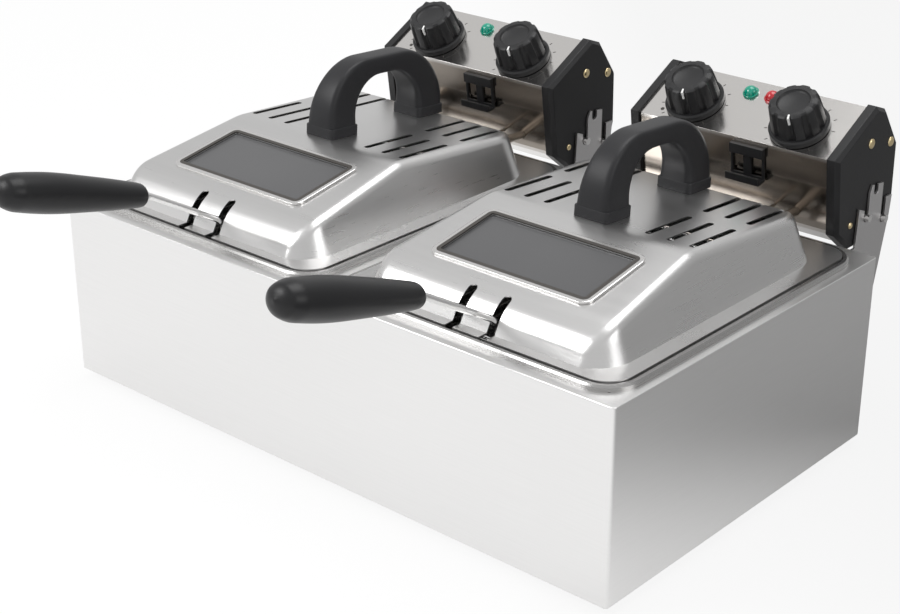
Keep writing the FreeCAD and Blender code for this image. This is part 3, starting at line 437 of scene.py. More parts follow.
skin("body_shell", casing_steel, "casing_steel", 0.5)
skin("centre_rail", casing_steel, "casing_steel")
skin("head_brackets", plate_steel, "bracket_steel", 0.3)
for side in SIDES:
    skin(side + "_tank", tank_steel, "tank_steel")
    skin(side + "_lid_shell", lid_steel, "lid_steel", 0.0, 40.0, nose=True)
    skin(side + "_head_cover", head_steel, "casing_steel", 0.4)
    skin(side + "_head_base", head_steel, "casing_steel")
    skin(side + "_end_caps", cap_black, "black_plastic", 0.6)
    skin(side + "_window_bezel", bright_steel, "bright_steel", 0.3)
    skin(side + "_drain_hook", cap_black, "bright_steel", 0.3)
print("sheet skins made")

# %% [markdown]
# Every CAD node gets a finish of its own too, so the nodes that no piece replaces, such as the feet and the
# parts inside the heads, look right when they come into view.

# %% Finishes on the CAD nodes that stay
STAYS = {
    "base_plate": plate_steel, "rubber_feet": foot_rubber, "element_clamp": tank_steel, "sensor_bulb": heater,
    "pivot_pins": bright_steel, "timer_body": inner_dark, "thermostat_body": inner_dark,
    "terminal_block": inner_dark, "thermal_cutout": inner_dark, "cable_gland": cap_black,
    "window_glass": window_glass, "window_retainer": bright_steel,
}
for name, node in frame["nodes"].items():
    kind = name.replace("left_", "").replace("right_", "")
    finish = STAYS.get(kind, plate_steel)
    node.data.materials.clear()
    node.data.materials.append(finish.material)
print("finishes put on the CAD nodes")

# %% [markdown]
# The lid handle is a moulded arch that is thick at its feet and thin over the fingers. One section swept
# along a curve would be as thick everywhere. Here the section is a rounded rectangle that spans from an inner
# curve to an outer curve: each is a leg, a quarter arc, a flat top, an arc and a leg, by one parameter.

# %% Lid handles
HANDLE_Y = 53.0
HANDLE_TILT = math.radians(-3.8)
HANDLE_HALF = 66.0
HANDLE_TOP = 58.0
HANDLE_OUTER = 46.0
HANDLE_GAP = 36.0
HANDLE_GAP_TOP = 43.0
HANDLE_INNER = 30.0
HANDLE_FOOT_WIDTH = 29.4
HANDLE_TOP_WIDTH = 20.0
HANDLE_PLINTH = 8.0
PLINTH_HALF = 15.5
PLINTH_PROUD = 0.3
PLINTH_ROUND = 0.8
PLINTH_CORNER = 0.25
FLAT_SHARE, ARC_SHARE, LEG_SHARE = 0.1, 0.3, 0.1
ARCH_SQUARENESS = 6.0
PLINTH_SQUARENESS = 9.0


def arch(share, half, top, radius):
    """Flat-topped arch in (y, z) as the share goes from 0 to 1: leg, quarter arc, flat top, arc, leg."""
    away = np.abs(share - 0.5)
    flat = np.clip(away / FLAT_SHARE, 0, 1)
    turn = np.clip((away - FLAT_SHARE) / ARC_SHARE, 0, 1) * math.pi / 2
    leg = np.clip((away - (FLAT_SHARE + ARC_SHARE)) / LEG_SHARE, 0, 1)
    side = np.sign(share - 0.5)
    y = side * (flat * (half - radius) + radius * np.sin(turn))
    z = top - radius + radius * np.cos(turn) - leg * (top - radius)
    return np.stack([y, z], -1)


def rounded(angle, power):
    """Unit rounded square: cosine and sine drawn out to the power 2 / n, keeping their signs."""
    cosine, sine = np.cos(angle), np.sin(angle)
    grow = 2.0 / power
    return np.sign(cosine) * np.abs(cosine) ** grow, np.sign(sine) * np.abs(sine) ** grow


def tilted(points, tilt, place):
    """Points turned about X by the tilt, then moved to a place."""
    x, y, z = points[..., 0], points[..., 1], points[..., 2]
    c, s = math.cos(tilt), math.sin(tilt)
    return np.stack([x, c * y - s * z, s * y + c * z], -1) + np.asarray(place)


def handle_grid(rows=96, columns=32):
    """Section = middle of two arches + half their gap * rounded sine, and half the width * rounded cosine."""
    share = np.linspace(0, 1, rows)
    outer = arch(share, HANDLE_HALF, HANDLE_TOP, HANDLE_OUTER)[:, None, :]
    inner = arch(share, HANDLE_GAP, HANDLE_GAP_TOP, HANDLE_INNER)[:, None, :]
    wide, thick = rounded(np.linspace(0, 2 * math.pi, columns, endpoint=False), ARCH_SQUARENESS)
    flat = (outer + inner) / 2 + (outer - inner) / 2 * thick[None, :, None]
    rise = np.clip((flat[..., 1] - HANDLE_PLINTH) / (HANDLE_TOP - HANDLE_PLINTH), 0, 1)
    half = (HANDLE_FOOT_WIDTH + (HANDLE_TOP_WIDTH - HANDLE_FOOT_WIDTH) * rise) / 2
    return np.concatenate([(half * wide[None, :])[..., None], flat], -1)


def plateau(side):
    """Point on the lid's vented top under the middle of the handle, in drawn millimetres."""
    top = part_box(side + "_lid_handle")[1][2] / MM
    crown = HANDLE_TOP * math.cos(HANDLE_TILT) - (HANDLE_HALF - HANDLE_OUTER) * math.sin(HANDLE_TILT)
    return np.array([0.0, HANDLE_Y, top - crown])


def plinth_grid(middle_y, columns=40):
    """Low foot block: rounded rectangles stacked with a small rounding at the top."""
    wide, deep = rounded(np.linspace(0, 2 * math.pi, columns, endpoint=False), PLINTH_SQUARENESS)
    inset = np.array([0.0, 0.0, PLINTH_CORNER, PLINTH_ROUND])[:, None]
    z = np.array([0.0, HANDLE_PLINTH - PLINTH_ROUND, HANDLE_PLINTH - PLINTH_CORNER, HANDLE_PLINTH])[:, None]
    half_x, half_y = PLINTH_HALF - inset, (HANDLE_HALF - HANDLE_GAP) / 2 + PLINTH_PROUD - inset
    return np.stack([half_x * wide, middle_y + half_y * deep, z + 0 * wide], -1)


for side in SIDES:
    base = plateau(side)
    name = side + "_handle_arch"
    mesh = surface(name, metres(tilted(handle_grid(), HANDLE_TILT, base), side), crease=50)
    place_piece(name, mesh, handle_black, side + "_lid", "black_plastic", (side + "_lid_handle",))
    for end, middle in (("front", -1), ("back", 1)):
        grid = plinth_grid(middle * (HANDLE_HALF + HANDLE_GAP) / 2)
        name = side + "_handle_plinth_" + end
        mesh = surface(name, metres(tilted(grid, HANDLE_TILT, base), side))
        place_piece(name, mesh, handle_black, side + "_lid", "black_plastic")
print("lid handles made")

# %% [markdown]
# The basket hangs from round wire: a closed rim, and two wires that rise at the front, bend over the tank's
# edge and run together into the grip. A tube is a circle carried along the wire's line. A curve with a bevel
# would do too, but with arcs at its corners the line needs only a few named corners and their bend radius.

# %% Wires of the baskets
WIRE = 2.5
BASKET_HALF = 104.0
BASKET_FRONT = -124.0
BASKET_BACK = 119.0
BASKET_LOW = deck - 99.6
BASKET_TOP = deck - 6.0
SPREAD = 15.0
NECK = 6.0
ROOT_GAP = 2.8 * WIRE
ROOT_Y = BASKET_FRONT - ROOT_GAP
TURN_Z = deck + 13.0
RISE = math.tan(math.radians(30))
RIM_BEND = 12.0
WIRE_BEND = 14.0
BEND_ROOM = 1.7 * WIRE_BEND
NECK_BEND = 9.0
WIRE_ROOT = 52.0
IN_GRIP = 27.0
GRIP_Y = -195.0
GRIP_ANGLE = math.radians(17)
GRIP_LENGTH = 127.0
NECK_Y = GRIP_Y + NECK / 2
NECK_Z = TURN_Z + (ROOT_Y - NECK_Y) * RISE


def bent_line(corners, radius, steps=10, closed=False):
    """Straight runs whose corners are replaced by arcs: centre + radius * (cos, sin) of the turn."""
    corners = np.asarray(corners, float)
    count = len(corners)
    points = [] if closed else [corners[:1]]
    for i in range(count) if closed else range(1, count - 1):
        here = corners[i]
        a = corners[i - 1] - here
        b = corners[(i + 1) % count] - here
        a, b = a / np.linalg.norm(a), b / np.linalg.norm(b)
        half = math.acos(np.clip(a @ b, -1, 1)) / 2
        centre = here + (a + b) / np.linalg.norm(a + b) * radius / math.sin(half)
        start = here + a * radius / math.tan(half) - centre
        across = -a * radius
        turn = np.linspace(0, math.pi - 2 * half, steps)[:, None]
        points.append(centre + start * np.cos(turn) + across * np.sin(turn))
    if not closed:
        points.append(corners[-1:])
    return np.concatenate(points)


def tube(line, radius, normal, sides=14, closed=False):
    """Circle carried along a line: point + radius * (cos * normal + sin * tangent x normal)."""
    ahead = np.roll(line, -1, 0) - np.roll(line, 1, 0)
    if not closed:
        ahead[0], ahead[-1] = line[1] - line[0], line[-1] - line[-2]
    ahead /= np.linalg.norm(ahead, axis=1, keepdims=True)
    up = np.asarray(normal, float) - ahead * (ahead @ np.asarray(normal, float))[:, None]
    up /= np.linalg.norm(up, axis=1, keepdims=True)
    over = np.cross(ahead, up)
    turn = np.linspace(0, 2 * math.pi, sides, endpoint=False)[None, :, None]
    return line[:, None, :] + radius * (np.cos(turn) * up[:, None, :] + np.sin(turn) * over[:, None, :])


def rim_line():
    """Rim of the basket, one wire radius outside the mesh and below its top."""
    x, y0, y1, z = BASKET_HALF + WIRE, BASKET_FRONT - WIRE, BASKET_BACK + WIRE, BASKET_TOP - WIRE
    return bent_line([(x, y0, z), (x, y1, z), (-x, y1, z), (-x, y0, z)], RIM_BEND, closed=True)


def handle_line(way):
    """One handle wire from the basket's front to the inside of the grip."""
    wide_y = ROOT_Y - BEND_ROOM
    wide, near = way * SPREAD, way * NECK
    tip_y, tip_z = NECK_Y - IN_GRIP * math.cos(GRIP_ANGLE), NECK_Z + IN_GRIP * math.sin(GRIP_ANGLE)
    corners = [(wide, ROOT_Y, BASKET_TOP - WIRE - WIRE_ROOT), (wide, ROOT_Y, TURN_Z),
               (wide, wide_y, TURN_Z + (ROOT_Y - wide_y) * RISE),
               (near, NECK_Y, NECK_Z), (near, tip_y, tip_z)]
    first = bent_line(corners[:3], WIRE_BEND)
    rest = bent_line(corners[1:], NECK_BEND)
    return np.concatenate([first[:-1], rest[1:]])


for side in SIDES:
    name = side + "_basket_rim"
    mesh = surface(name, metres(tube(rim_line(), WIRE, (0, 0, 1), closed=True), side), closed=True)
    place_piece(name, mesh, wire_steel, side + "_basket", "basket_wire", (side + "_basket_frame",))
    for way, end in ((-1, "a"), (1, "b")):
        name = side + "_handle_wire_" + end
        mesh = surface(name, metres(tube(handle_line(way), WIRE, (1, 0, 0)), side))
        place_piece(name, mesh, wire_steel, side + "_basket", "basket_wire")
print("basket wires made")

# %% [markdown]
# The mesh of the basket is fine square netting. An image with holes would look flat close up, and a tube for
# each wire would be hundreds of objects. So each wire is a six-sided bar, and all bars of a basket are one
# array: start points and end points in two tables, and one ring of corners added to both.

# %% Basket netting
NET_PITCH = 7.0
NET_WIRE = 0.7
NET_INSET = 1.0


def net_bars():
    """Start and end of every wire: floor both ways, four walls upright and level."""
    hx, y0, y1 = BASKET_HALF - NET_INSET, BASKET_FRONT + NET_INSET, BASKET_BACK - NET_INSET
    z0, z1 = BASKET_LOW + NET_INSET, BASKET_TOP - NET_INSET / 2
    x = np.linspace(-hx, hx, int(2 * hx / NET_PITCH))
    y = np.linspace(y0, y1, int((y1 - y0) / NET_PITCH))
    z = np.linspace(z0, z1, int((z1 - z0) / NET_PITCH))

    def bars(ax, ay, az, bx, by, bz):
        """Bars from points a to points b, where one of the axes is an array."""
        one = np.stack(np.broadcast_arrays(ax, ay, az), -1).astype(float)
        two = np.stack(np.broadcast_arrays(bx, by, bz), -1).astype(float)
        return np.stack([one, two], 1)

    groups = [bars(x, y0, z0, x, y1, z0), bars(-hx, y, z0, hx, y, z0)]
    for wall in (y0, y1):
        groups += [bars(x, wall, z0, x, wall, z1), bars(-hx, wall, z, hx, wall, z)]
    for wall in (-hx, hx):
        groups += [bars(wall, y, z0, wall, y, z1), bars(wall, y0, z, wall, y1, z)]
    return np.concatenate(groups)


def net_mesh(name, side, sides=6):
    """All the bars as one mesh: each end is a ring square to its bar."""
    ends = net_bars()
    along = ends[:, 1] - ends[:, 0]
    along /= np.linalg.norm(along, axis=1, keepdims=True)
    helper = np.where(np.abs(along[:, 2:3]) > 0.9, [[1.0, 0, 0]], [[0, 0, 1.0]])
    u = np.cross(along, helper)
    u /= np.linalg.norm(u, axis=1, keepdims=True)
    v = np.cross(along, u)
    turn = np.linspace(0, 2 * math.pi, sides, endpoint=False)
    ring = NET_WIRE * (np.cos(turn)[:, None] * u[:, None] + np.sin(turn)[:, None] * v[:, None])
    points = ends[:, :, None, :] + ring[:, None]
    quads = grid_faces(2, sides)[None] + (np.arange(len(ends)) * 2 * sides)[:, None, None]
    return new_mesh(name, metres(points.reshape(-1, 3), side), quads.reshape(-1, 4).tolist())


for side in SIDES:
    name = side + "_basket_net"
    mesh = net_mesh(name, side)
    place_piece(name, mesh, wire_steel, side + "_basket", "basket_wire", (side + "_basket_mesh",))
print("netting made:", len(net_bars()), "wires a basket")

# %% [markdown]
# The grip is a soft black moulding, narrow at the wires, fullest past its middle and rounded at its end.
# Its section is an ellipse whose two widths follow smooth curves along the grip's straight axis. A box under
# a Subdivision Surface would give a similar shape, but its widths could not be set at each station.

# %% Basket grips
GRIP_SHARES = np.array([0.0, 0.012, 0.1, 0.36, 0.68, 0.88, 0.955, 0.985, 1.0])
GRIP_WIDTHS = np.array([19.0, 21.5, 25.0, 30.0, 33.0, 31.0, 25.0, 16.0, 2.0])
GRIP_THICKS = np.array([15.0, 17.5, 20.0, 25.0, 29.0, 27.0, 21.5, 13.5, 2.0])


def smooth_through(share, stations, values):
    """Cubic through the stations, with slopes from neighbours that never overshoot them."""
    slope = np.diff(values) / np.diff(stations)
    product, total = slope[1:] * slope[:-1], slope[1:] + slope[:-1] + 1e-9
    inner = np.where(product > 0, 2 * product / total, 0)
    tangent = np.concatenate([slope[:1], inner, slope[-1:]])
    k = np.clip(np.searchsorted(stations, share, "right") - 1, 0, len(slope) - 1)
    step = stations[k + 1] - stations[k]
    t = (share - stations[k]) / step
    rise = values[k + 1] - values[k]
    return (values[k] + step * tangent[k] * t * (1 - t) ** 2 + rise * t * t * (3 - 2 * t)
            - step * tangent[k + 1] * t * t * (1 - t))


def grip_grid(rows=70, columns=36):
    """Ellipse widths by share of the length, carried along the grip's rising axis."""
    share = (1 - np.cos(np.linspace(0, math.pi, rows))) / 2
    wide = smooth_through(share, GRIP_SHARES, GRIP_WIDTHS)[:, None] / 2
    thick = smooth_through(share, GRIP_SHARES, GRIP_THICKS)[:, None] / 2
    turn = np.linspace(0, 2 * math.pi, columns, endpoint=False)[None]
    x, up = wide * np.cos(turn), thick * np.sin(turn)
    along = share[:, None] * GRIP_LENGTH
    y = -along * math.cos(GRIP_ANGLE) + up * math.sin(GRIP_ANGLE)
    z = along * math.sin(GRIP_ANGLE) + up * math.cos(GRIP_ANGLE)
    return np.stack([x, GRIP_Y + y, NECK_Z + z], -1)


for side in SIDES:
    mesh = surface(side + "_grip", metres(grip_grid(), side), crease=60)
    place_piece(side + "_grip", mesh, grip_black, side + "_basket", "black_plastic", (side + "_basket_grip",))
print("grips made")

# %% [markdown]
# Each heater is one long tube: down from the head, forward along the tank's floor, and back and forth with
# half turns. The same tube helper draws it in three pieces, because the legs turn in upright planes and the
# runs turn in a level one.

# %% Heating elements
TUBE = 3.5
RUN_PITCH = 38.0
LEG_Y = 130.5
LEG_BEND = 14.0
EXIT_Z = deck + 13.0
RUN_GAP = 1.4
RUN_Z = BASKET_LOW - RUN_GAP - TUBE
HEAD_FRONT_Y = back_wall + 3.0
IN_HEAD = 18.0
RUN_FRONT = -104.0
RUN_BACK = 84.0


def element_line():
    """Centre line of the heater: legs in upright planes, runs joined by half turns on the floor."""
    outer, inner = 1.5 * RUN_PITCH, 0.5 * RUN_PITCH
    down = bent_line([(-outer, HEAD_FRONT_Y + IN_HEAD, EXIT_Z), (-outer, LEG_Y, EXIT_Z),
                      (-outer, LEG_Y, RUN_Z), (-outer, RUN_FRONT + inner, RUN_Z)], LEG_BEND)
    turn = np.linspace(0, math.pi, 24)

    def half_turn(x, y, way):
        """Half circle about (x, y), bulging forwards or backwards."""
        return np.stack([x - inner * np.cos(turn), y + way * inner * np.sin(turn), 0 * turn + RUN_Z], -1)

    parts = [down[:-1], half_turn(-RUN_PITCH, RUN_FRONT + inner, -1), half_turn(0, RUN_BACK - inner, 1),
             half_turn(RUN_PITCH, RUN_FRONT + inner, -1), (down * [-1, 1, 1])[::-1][1:]]
    return np.concatenate(parts)


for side in SIDES:
    line = element_line()
    back = line[:, 1] >= RUN_BACK + 1
    first, last = np.argmin(back), len(back) - np.argmin(back[::-1])
    name = side + "_heater_runs"
    mesh = surface(name, metres(tube(line[first - 1:last + 1], TUBE, (0, 0, 1)), side))
    place_piece(name, mesh, heater, side + "_head", "heater_steel", (side + "_heating_element",))
    for end, part in (("a", line[:first + 1]), ("b", line[last - 1:])):
        name = side + "_heater_leg_" + end
        mesh = surface(name, metres(tube(part, TUBE, (1, 0, 0)), side))
        place_piece(name, mesh, heater, side + "_head", "heater_steel")
print("heating elements made")

# %% [markdown]
# Knobs and lamps stand on the sloping panel, so they are drawn upright about their own axis and then tilted
# with the panel. A knob is a turned profile whose radius dips in ten finger grooves between skirt and top.
# The grooves could be cut with a Boolean, but as part of the radius they fade out smoothly towards the top.

# %% Knobs
PANEL_RISE, PANEL_RUN = 28.0, 53.0
PANEL_TILT = math.atan2(PANEL_RISE, PANEL_RUN)
LIP_OVER_DECK = 63.0
PANEL_LIP = np.array([0.0, HEAD_FRONT_Y, deck + LIP_OVER_DECK])
KNOB_X = 47.5
KNOB_ALONG = 24.0
KNOB_FLUTES = 10
KNOB_GROOVE_DEPTH = 2.2
FLUTE_STEEPNESS, FLUTE_SHIFT = 1.5, 0.1
KNOB_PROFILE_Z = np.array([0.6, 0.6, 4.4, 5.6, 5.6, 9.0, 16.0, 24.0, 26.4, 27.6, 27.6, 26.4, 25.6, 25.6])
KNOB_PROFILE_R = np.array([3.2, 23.5, 23.5, 22.3, 21.2, 21.0, 20.4, 19.6, 18.9, 17.2, 13.0, 12.4, 11.0, 0.05])
KNOB_GROOVE = np.array([0.0, 0.0, 0.0, 0.0, 1.0, 1.0, 0.9, 0.8, 0.5, 0.2, 0.0, 0.0, 0.0, 0.0])


def on_panel(points, x, along):
    """Points drawn about an upright axis, stood on the sloping panel."""
    spot = np.asarray(points) + np.array([x, along, 0.0])
    return tilted(spot, PANEL_TILT, PANEL_LIP)


def knob_grid(columns=200):
    """Radius = profile - groove depth * a rounded wave that repeats ten times round the knob."""
    turn = np.linspace(0, 2 * math.pi, columns, endpoint=False)[None]
    wave = np.clip(np.cos(KNOB_FLUTES * turn) * FLUTE_STEEPNESS - FLUTE_SHIFT, 0, 1)
    wave = wave * wave * (3 - 2 * wave)
    radius = KNOB_PROFILE_R[:, None] - KNOB_GROOVE_DEPTH * KNOB_GROOVE[:, None] * wave
    height = KNOB_PROFILE_Z[:, None] + 0 * turn
    return np.stack([radius * np.cos(turn), radius * np.sin(turn), height], -1)


for side in SIDES:
    for kind, x in (("timer", -KNOB_X), ("thermostat", KNOB_X)):
        name = side + "_" + kind + "_dial"
        mesh = surface(name, metres(on_panel(knob_grid(), x, KNOB_ALONG), side), crease=38)
        place_piece(name, mesh, knob_black, side + "_" + kind, "knob_plastic", (side + "_" + kind + "_knob",))
print("knobs made")

# %% [markdown]
# A black gasket shows between each window's bright frame and its glass. It is a flat ring of two rounded
# rectangles, drawn level and then tilted to the lid's front slope, which two points of the lid give.

# %% Window gaskets
SLOPE_LOW = np.array([-132.0, deck + 26.2])
SLOPE_HIGH = np.array([-16.5, deck + 46.2])
WINDOW_Y = -71.3
WINDOW_HALF = np.array([63.5, 28.75])
GASKET = 3.0
GASKET_CORNER = 1.5
GASKET_LOW = 1.0
BEZEL_TOP = 2.0
GASKET_TOP = 2.12


def rounded_rectangle(half_x, half_y, radius, steps=8):
    """Corner centres plus radius * (cos, sin), a quarter turn at each corner."""
    turn = np.linspace(0, math.pi / 2, steps)[None, :] + (np.arange(4) * math.pi / 2)[:, None]
    x = np.array([1, -1, -1, 1])[:, None] * (half_x - radius) + radius * np.cos(turn)
    y = np.array([1, 1, -1, -1])[:, None] * (half_y - radius) + radius * np.sin(turn)
    return np.stack([x.ravel(), y.ravel()], -1)


def gasket_grid():
    """Four rings round the opening: inner bottom, inner top, outer top, outer bottom."""
    rings = []
    for grow, z in ((0.0, GASKET_LOW), (0.0, GASKET_TOP), (GASKET, GASKET_TOP), (GASKET, BEZEL_TOP)):
        ring = rounded_rectangle(*(WINDOW_HALF + grow), GASKET_CORNER + grow)
        rings.append(np.column_stack([ring, np.full(len(ring), z)]))
    slope = SLOPE_HIGH - SLOPE_LOW
    z = SLOPE_LOW[1] + (WINDOW_Y - SLOPE_LOW[0]) * slope[1] / slope[0]
    return tilted(np.array(rings), math.atan2(slope[1], slope[0]), (0.0, WINDOW_Y, z))


for side in SIDES:
    name = side + "_window_gasket"
    mesh = surface(name, metres(gasket_grid(), side), closed=True)
    place_piece(name, mesh, inner_dark, side + "_lid", "inner_plastic")
print("gaskets made")

# %% [markdown]
# Round each knob the panel has a plain printed scale of short ticks, and each knob has a white pointer line
# over its top edge. An image could show them, but strips stay sharp close up: a box is a ring of four corners
# at two heights, so all the ticks of a scale are one array, turned to their angles at once.

# %% Scales and pointers
TICKS = 11
SCALE_SWEEP = math.radians(270)
SCALE_MIDDLE = math.pi / 2
TICK_NEAR, TICK_FAR, TICK_HALF = 25.5, 28.0, 0.35
PRINT = 0.08
POINTER_NEAR, POINTER_FAR, POINTER_HALF = 15.0, 19.6, 0.7
POINTER_LOW, POINTER_HIGH = 21.0, 27.7
POINTER_ANGLE = -math.pi / 2 + math.pi / KNOB_FLUTES


def strips(angles, near, far, half, low, high):
    """Boxes that lie along the radius at each angle, from near to far and from low to high."""
    corners = ((near, -half), (far, -half), (far, half), (near, half))
    box = np.array([[x, y, z] for z in (low, high) for x, y in corners])
    c, t = np.cos(angles)[:, None], np.sin(angles)[:, None]
    x, y, z = box[None, :, 0], box[None, :, 1], box[None, :, 2]
    return np.stack([c * x - t * y, t * x + c * y, z + 0 * c], -1)


def strip_mesh(name, points):
    """One mesh of many boxes: sides from the grid helper, then a top and a bottom."""
    sides = np.concatenate([grid_faces(2, 4), [[4, 5, 6, 7], [3, 2, 1, 0]]])
    faces = sides[None] + (np.arange(len(points)) * 8)[:, None, None]
    return new_mesh(name, points, faces.reshape(-1, 4).tolist())


for side in SIDES:
    for kind, x in (("timer", -KNOB_X), ("thermostat", KNOB_X)):
        angles = SCALE_MIDDLE + np.linspace(-SCALE_SWEEP / 2, SCALE_SWEEP / 2, TICKS)
        ticks = strips(angles, TICK_NEAR, TICK_FAR, TICK_HALF, 0.0, PRINT)
        name = side + "_" + kind + "_scale"
        mesh = strip_mesh(name, metres(on_panel(ticks, x, KNOB_ALONG), side))
        place_piece(name, mesh, inner_dark, side + "_head", "inner_plastic")
        angle = np.array([POINTER_ANGLE])
        pointer = strips(angle, POINTER_NEAR, POINTER_FAR, POINTER_HALF, POINTER_LOW, POINTER_HIGH)
        name = side + "_" + kind + "_pointer"
        mesh = strip_mesh(name, metres(on_panel(pointer, x, KNOB_ALONG), side))
        place_piece(name, mesh, mark_white, side + "_" + kind, "knob_plastic")
print("scales and pointers made")

# %% [markdown]
# Two signal lamps stand between the knobs of each head, green and red. Each is a coloured dome on a flange,
# so one turned profile makes both. A sphere would need cutting, and the profile already ends at the panel.

# %% Lamps
LAMP_X = 9.8
LAMP_ALONG = 46.5
LAMP_RADIUS = 5.4
LAMP_DOME = 4.6
LAMP_SEAT = 1.5
FLANGE_RADIUS, FLANGE_CREST = 6.4, 6.0
FLANGE_LOW, FLANGE_HIGH = 0.1, 1.2
LAMP_POLE = 0.02


def lamp_grid(columns=36, rows=12):
    """Flange, then a dome: lamp radius * cos(turn), dome height * sin(turn)."""
    turn = np.linspace(0, math.pi / 2 - LAMP_POLE, rows)
    flange_radius = [FLANGE_RADIUS, FLANGE_RADIUS, FLANGE_CREST]
    flange_height = [FLANGE_LOW, FLANGE_HIGH, LAMP_SEAT]
    radius = np.concatenate([flange_radius, LAMP_RADIUS * np.cos(turn)])[:, None]
    height = np.concatenate([flange_height, LAMP_SEAT + LAMP_DOME * np.sin(turn)])[:, None]
    around = np.linspace(0, 2 * math.pi, columns, endpoint=False)[None]
    return np.stack([radius * np.cos(around), radius * np.sin(around), height + 0 * around], -1)


for side in SIDES:
    for kind, x, finish in (("green", -LAMP_X, green_lens), ("red", LAMP_X, red_lens)):
        name = side + "_" + kind + "_jewel"
        mesh = surface(name, metres(on_panel(lamp_grid(), x, LAMP_ALONG), side))
        place_piece(name, mesh, finish, side + "_head", kind + "_lens", (side + "_" + kind + "_lamp",))
print("lamps made")

# %% [markdown]
# Small screws hold the end caps and the feet of the brackets. A slot could be cut in each, but at this size
# a plain dome is enough. The same dome, smaller and flatter, is the dark dot on each panel beside its timer.

# %% Screws
CAP_SCREWS = ((210.0, deck + 66.0, 4.0), (240.0, deck + 60.0, 4.0), (188.5, deck + 6.0, 2.6))
CAP_FACE = 95.5
BRACKET_SCREWS = (deck - 68.0, deck - 32.0)
BRACKET_FOOT = 107.0
BRACKET_SHEET = 2.0
SCREW_RADIUS = 4.0
SCREW_RISE = 1.6
SCREW_POLE = 0.03
DOT_X, DOT_ALONG = -69.5, 9.0
DOT_RADIUS, DOT_RISE = 1.6, 0.5


def dome_grid(radius, height, columns=24, rows=8):
    """Dome of revolution on the Z axis: radius * cos(turn), height * sin(turn)."""
    turn = np.linspace(0, math.pi / 2 - SCREW_POLE, rows)[:, None]
    around = np.linspace(0, 2 * math.pi, columns, endpoint=False)[None]
    flat = radius * np.cos(turn)
    return np.stack([flat * np.cos(around), flat * np.sin(around), height * np.sin(turn) + 0 * around], -1)


def facing_x(points, way, x, y, z):
    """Points drawn about Z, turned to stand out along X at a place."""
    return np.stack([x + way * points[..., 2], y + points[..., 0], z + points[..., 1]], -1)


def facing_y(points, x, y, z):
    """Points drawn about Z, turned to stand out backwards at a place."""
    return np.stack([x + points[..., 0], y + points[..., 2], z - points[..., 1]], -1)


for side in SIDES:
    for way, end in ((-1, "l"), (1, "r")):
        for i, (y, z, radius) in enumerate(CAP_SCREWS):
            name = side + "_cap_screw_" + end + str(i)
            grid = facing_x(dome_grid(radius, SCREW_RISE), way, way * CAP_FACE, y, z)
            mesh = surface(name, metres(grid, side))
            place_piece(name, mesh, brass, side + "_head", "bright_steel")
for side in SIDES:
    for way, end in ((-1, "l"), (1, "r")):
        for i, z in enumerate(BRACKET_SCREWS):
            name = side + "_bracket_screw_" + end + str(i)
            dome = dome_grid(SCREW_RADIUS, SCREW_RISE)
            grid = facing_y(dome, way * BRACKET_FOOT, back_wall + BRACKET_SHEET, z)
            mesh = surface(name, metres(grid, side))
            place_piece(name, mesh, bright_steel, "casing", "bright_steel")
for side in SIDES:
    name = side + "_panel_dot"
    grid = on_panel(dome_grid(DOT_RADIUS, DOT_RISE), DOT_X, DOT_ALONG)
    mesh = surface(name, metres(grid, side))
    place_piece(name, mesh, inner_dark, side + "_head", "inner_plastic")
print("screws made")

# %% [markdown]
# The photograph was taken from the right front, a little above, with the fryer on white. The camera could be
# placed by eye, but here its place, aim and lens were worked out from the casing's corners in the photograph.

# %% Camera
CAMERA = (858.3, -981.1, 678.7)
TARGET = (24.4, -35.9, 108.0)
LENS = 73.44
SENSOR = 36.0
eye = bpy.data.cameras.new("eye")
eye.lens = LENS
eye.sensor_width = SENSOR
camera = bpy.data.objects.new("eye", eye)
bpy.context.scene.collection.objects.link(camera)
camera.location = metres(CAMERA)
toward = Vector(metres(TARGET) - metres(CAMERA))
camera.rotation_mode = "QUATERNION"
camera.rotation_quaternion = toward.to_track_quat("-Z", "Y")
bpy.context.scene.camera = camera
print("camera at", [round(v, 3) for v in camera.location])

# %% [markdown]
# The floor is near white to the camera and keeps a faint shadow. In reflections it is bright in front and
# darker to the right and behind, so the casing's front mirrors white and its right side mirrors grey. A white
# card and a grey card would do this in a studio, and here one Mix Shader tells the kinds of ray apart.

# %% Floor
FLOOR_HALF = 4.0
FLOOR_LIGHT, FLOOR_DARK = (0.9, 0.9, 0.9), (0.28, 0.28, 0.28)
FLOOR_SEEN, FLOOR_MIRRORED = 0.88, 0.75
DUSK_SLOPE, DUSK_START = 2.2, -0.1
scene = bpy.context.scene
floor_mesh = bpy.data.meshes.new("floor")
corners = [(x * FLOOR_HALF, y * FLOOR_HALF, 0) for x, y in ((-1, -1), (1, -1), (1, 1), (-1, 1))]
floor_mesh.from_pydata(corners, [], [(0, 1, 2, 3)])
floor = bpy.data.objects.new("floor", floor_mesh)
scene.collection.objects.link(floor)
white = Finish("floor_white", FLOOR_LIGHT, roughness=0.9)
across, away, _ = white.point.axes()
dusk = (across + away).clamped(DUSK_SLOPE, DUSK_START)
white.set(Base_Color=dusk.between(FLOOR_LIGHT, FLOOR_DARK))
floor_mesh.materials.append(white.material)
rays = white.tree.nodes.new("ShaderNodeLightPath").outputs
seen, mirrored = Signal(white.tree, rays["Is Camera Ray"]), Signal(white.tree, rays["Is Glossy Ray"])
glow = white.tree.nodes.new("ShaderNodeEmission")
blend = white.tree.nodes.new("ShaderNodeMixShader")
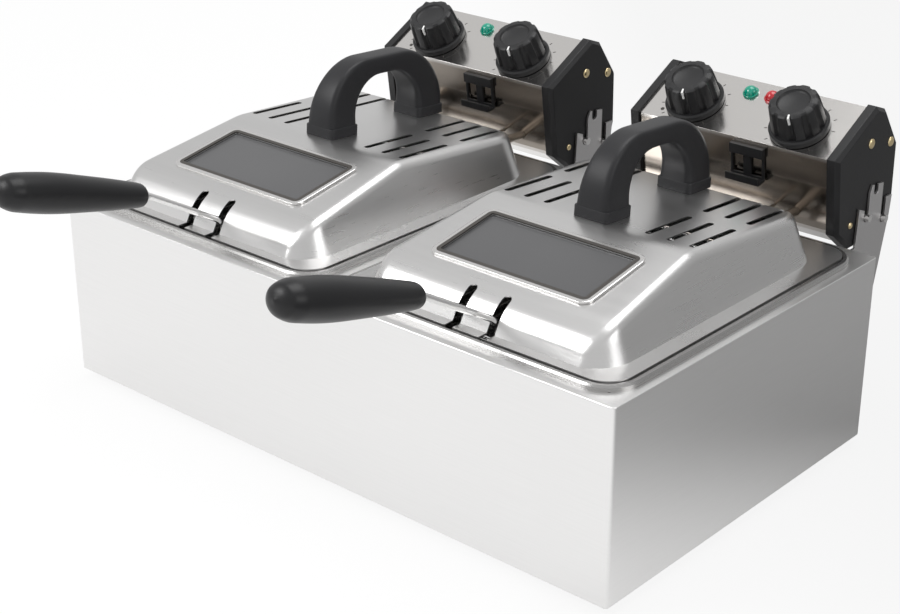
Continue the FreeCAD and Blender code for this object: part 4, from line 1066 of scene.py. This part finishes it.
feed(white.tree, blend.inputs["Fac"], seen * FLOOR_SEEN + mirrored * (1.0 - dusk) * FLOOR_MIRRORED)
white.tree.links.new(white.shader.outputs[0], blend.inputs[1])
white.tree.links.new(glow.outputs[0], blend.inputs[2])
white.tree.links.new(blend.outputs[0], white.tree.nodes["Material Output"].inputs["Surface"])
print("floor made,", 2 * FLOOR_HALF, "m square")

# %% [markdown]
# The world is white to the camera. To everything else it is a soft light that is dimmer to the right and
# behind, as the floor is. A picture of a studio would also do, but two axes of the view direction are enough.

# %% World
WORLD_LEVEL, WORLD_DIM = 0.68, 0.38
DIM_SLOPE, DIM_START = 0.9, -0.4
scene.view_settings.view_transform = "Standard"
world = bpy.data.worlds.new("studio")
scene.world = world
world.use_nodes = True
sky = world.node_tree
background = sky.nodes["Background"]
background.inputs["Color"].default_value = (1.0, 1.0, 1.0, 1.0)
seen = Signal(sky, sky.nodes.new("ShaderNodeLightPath").outputs["Is Camera Ray"])
east, north, _ = Signal(sky, sky.nodes.new("ShaderNodeTexCoord").outputs["Generated"]).axes()
level = WORLD_LEVEL - (east + north).clamped(DIM_SLOPE, DIM_START) * WORLD_DIM
feed(sky, background.inputs["Strength"], seen * (1.0 - level) + level)
print("world made")

# %% [markdown]
# Three large soft boxes light the fryer: the key from the left front, one overhead and a weak fill from the
# right. Small lamps would put hard spots on the steel, and large ones give it broad, even highlights.

# %% Soft boxes


def soft_box(name, place, aim, size, power):
    """Square lamp at a place, turned to face its aim."""
    lamp = bpy.data.lights.new(name, "AREA")
    lamp.shape = "SQUARE"
    lamp.size = size
    lamp.energy = power
    box = bpy.data.objects.new(name, lamp)
    scene.collection.objects.link(box)
    box.location = place
    box.rotation_mode = "QUATERNION"
    box.rotation_quaternion = (Vector(aim) - Vector(place)).to_track_quat("-Z", "Y")


AIM = (0.0, 0.0, 0.1)
soft_box("key", (-1.2, -1.6, 1.9), AIM, 1.2, 26.0)
soft_box("top", (0.1, 0.6, 2.2), AIM, 1.4, 18.0)
soft_box("fill", (2.0, 0.2, 1.2), AIM, 1.0, 6.0)
print("soft boxes made")
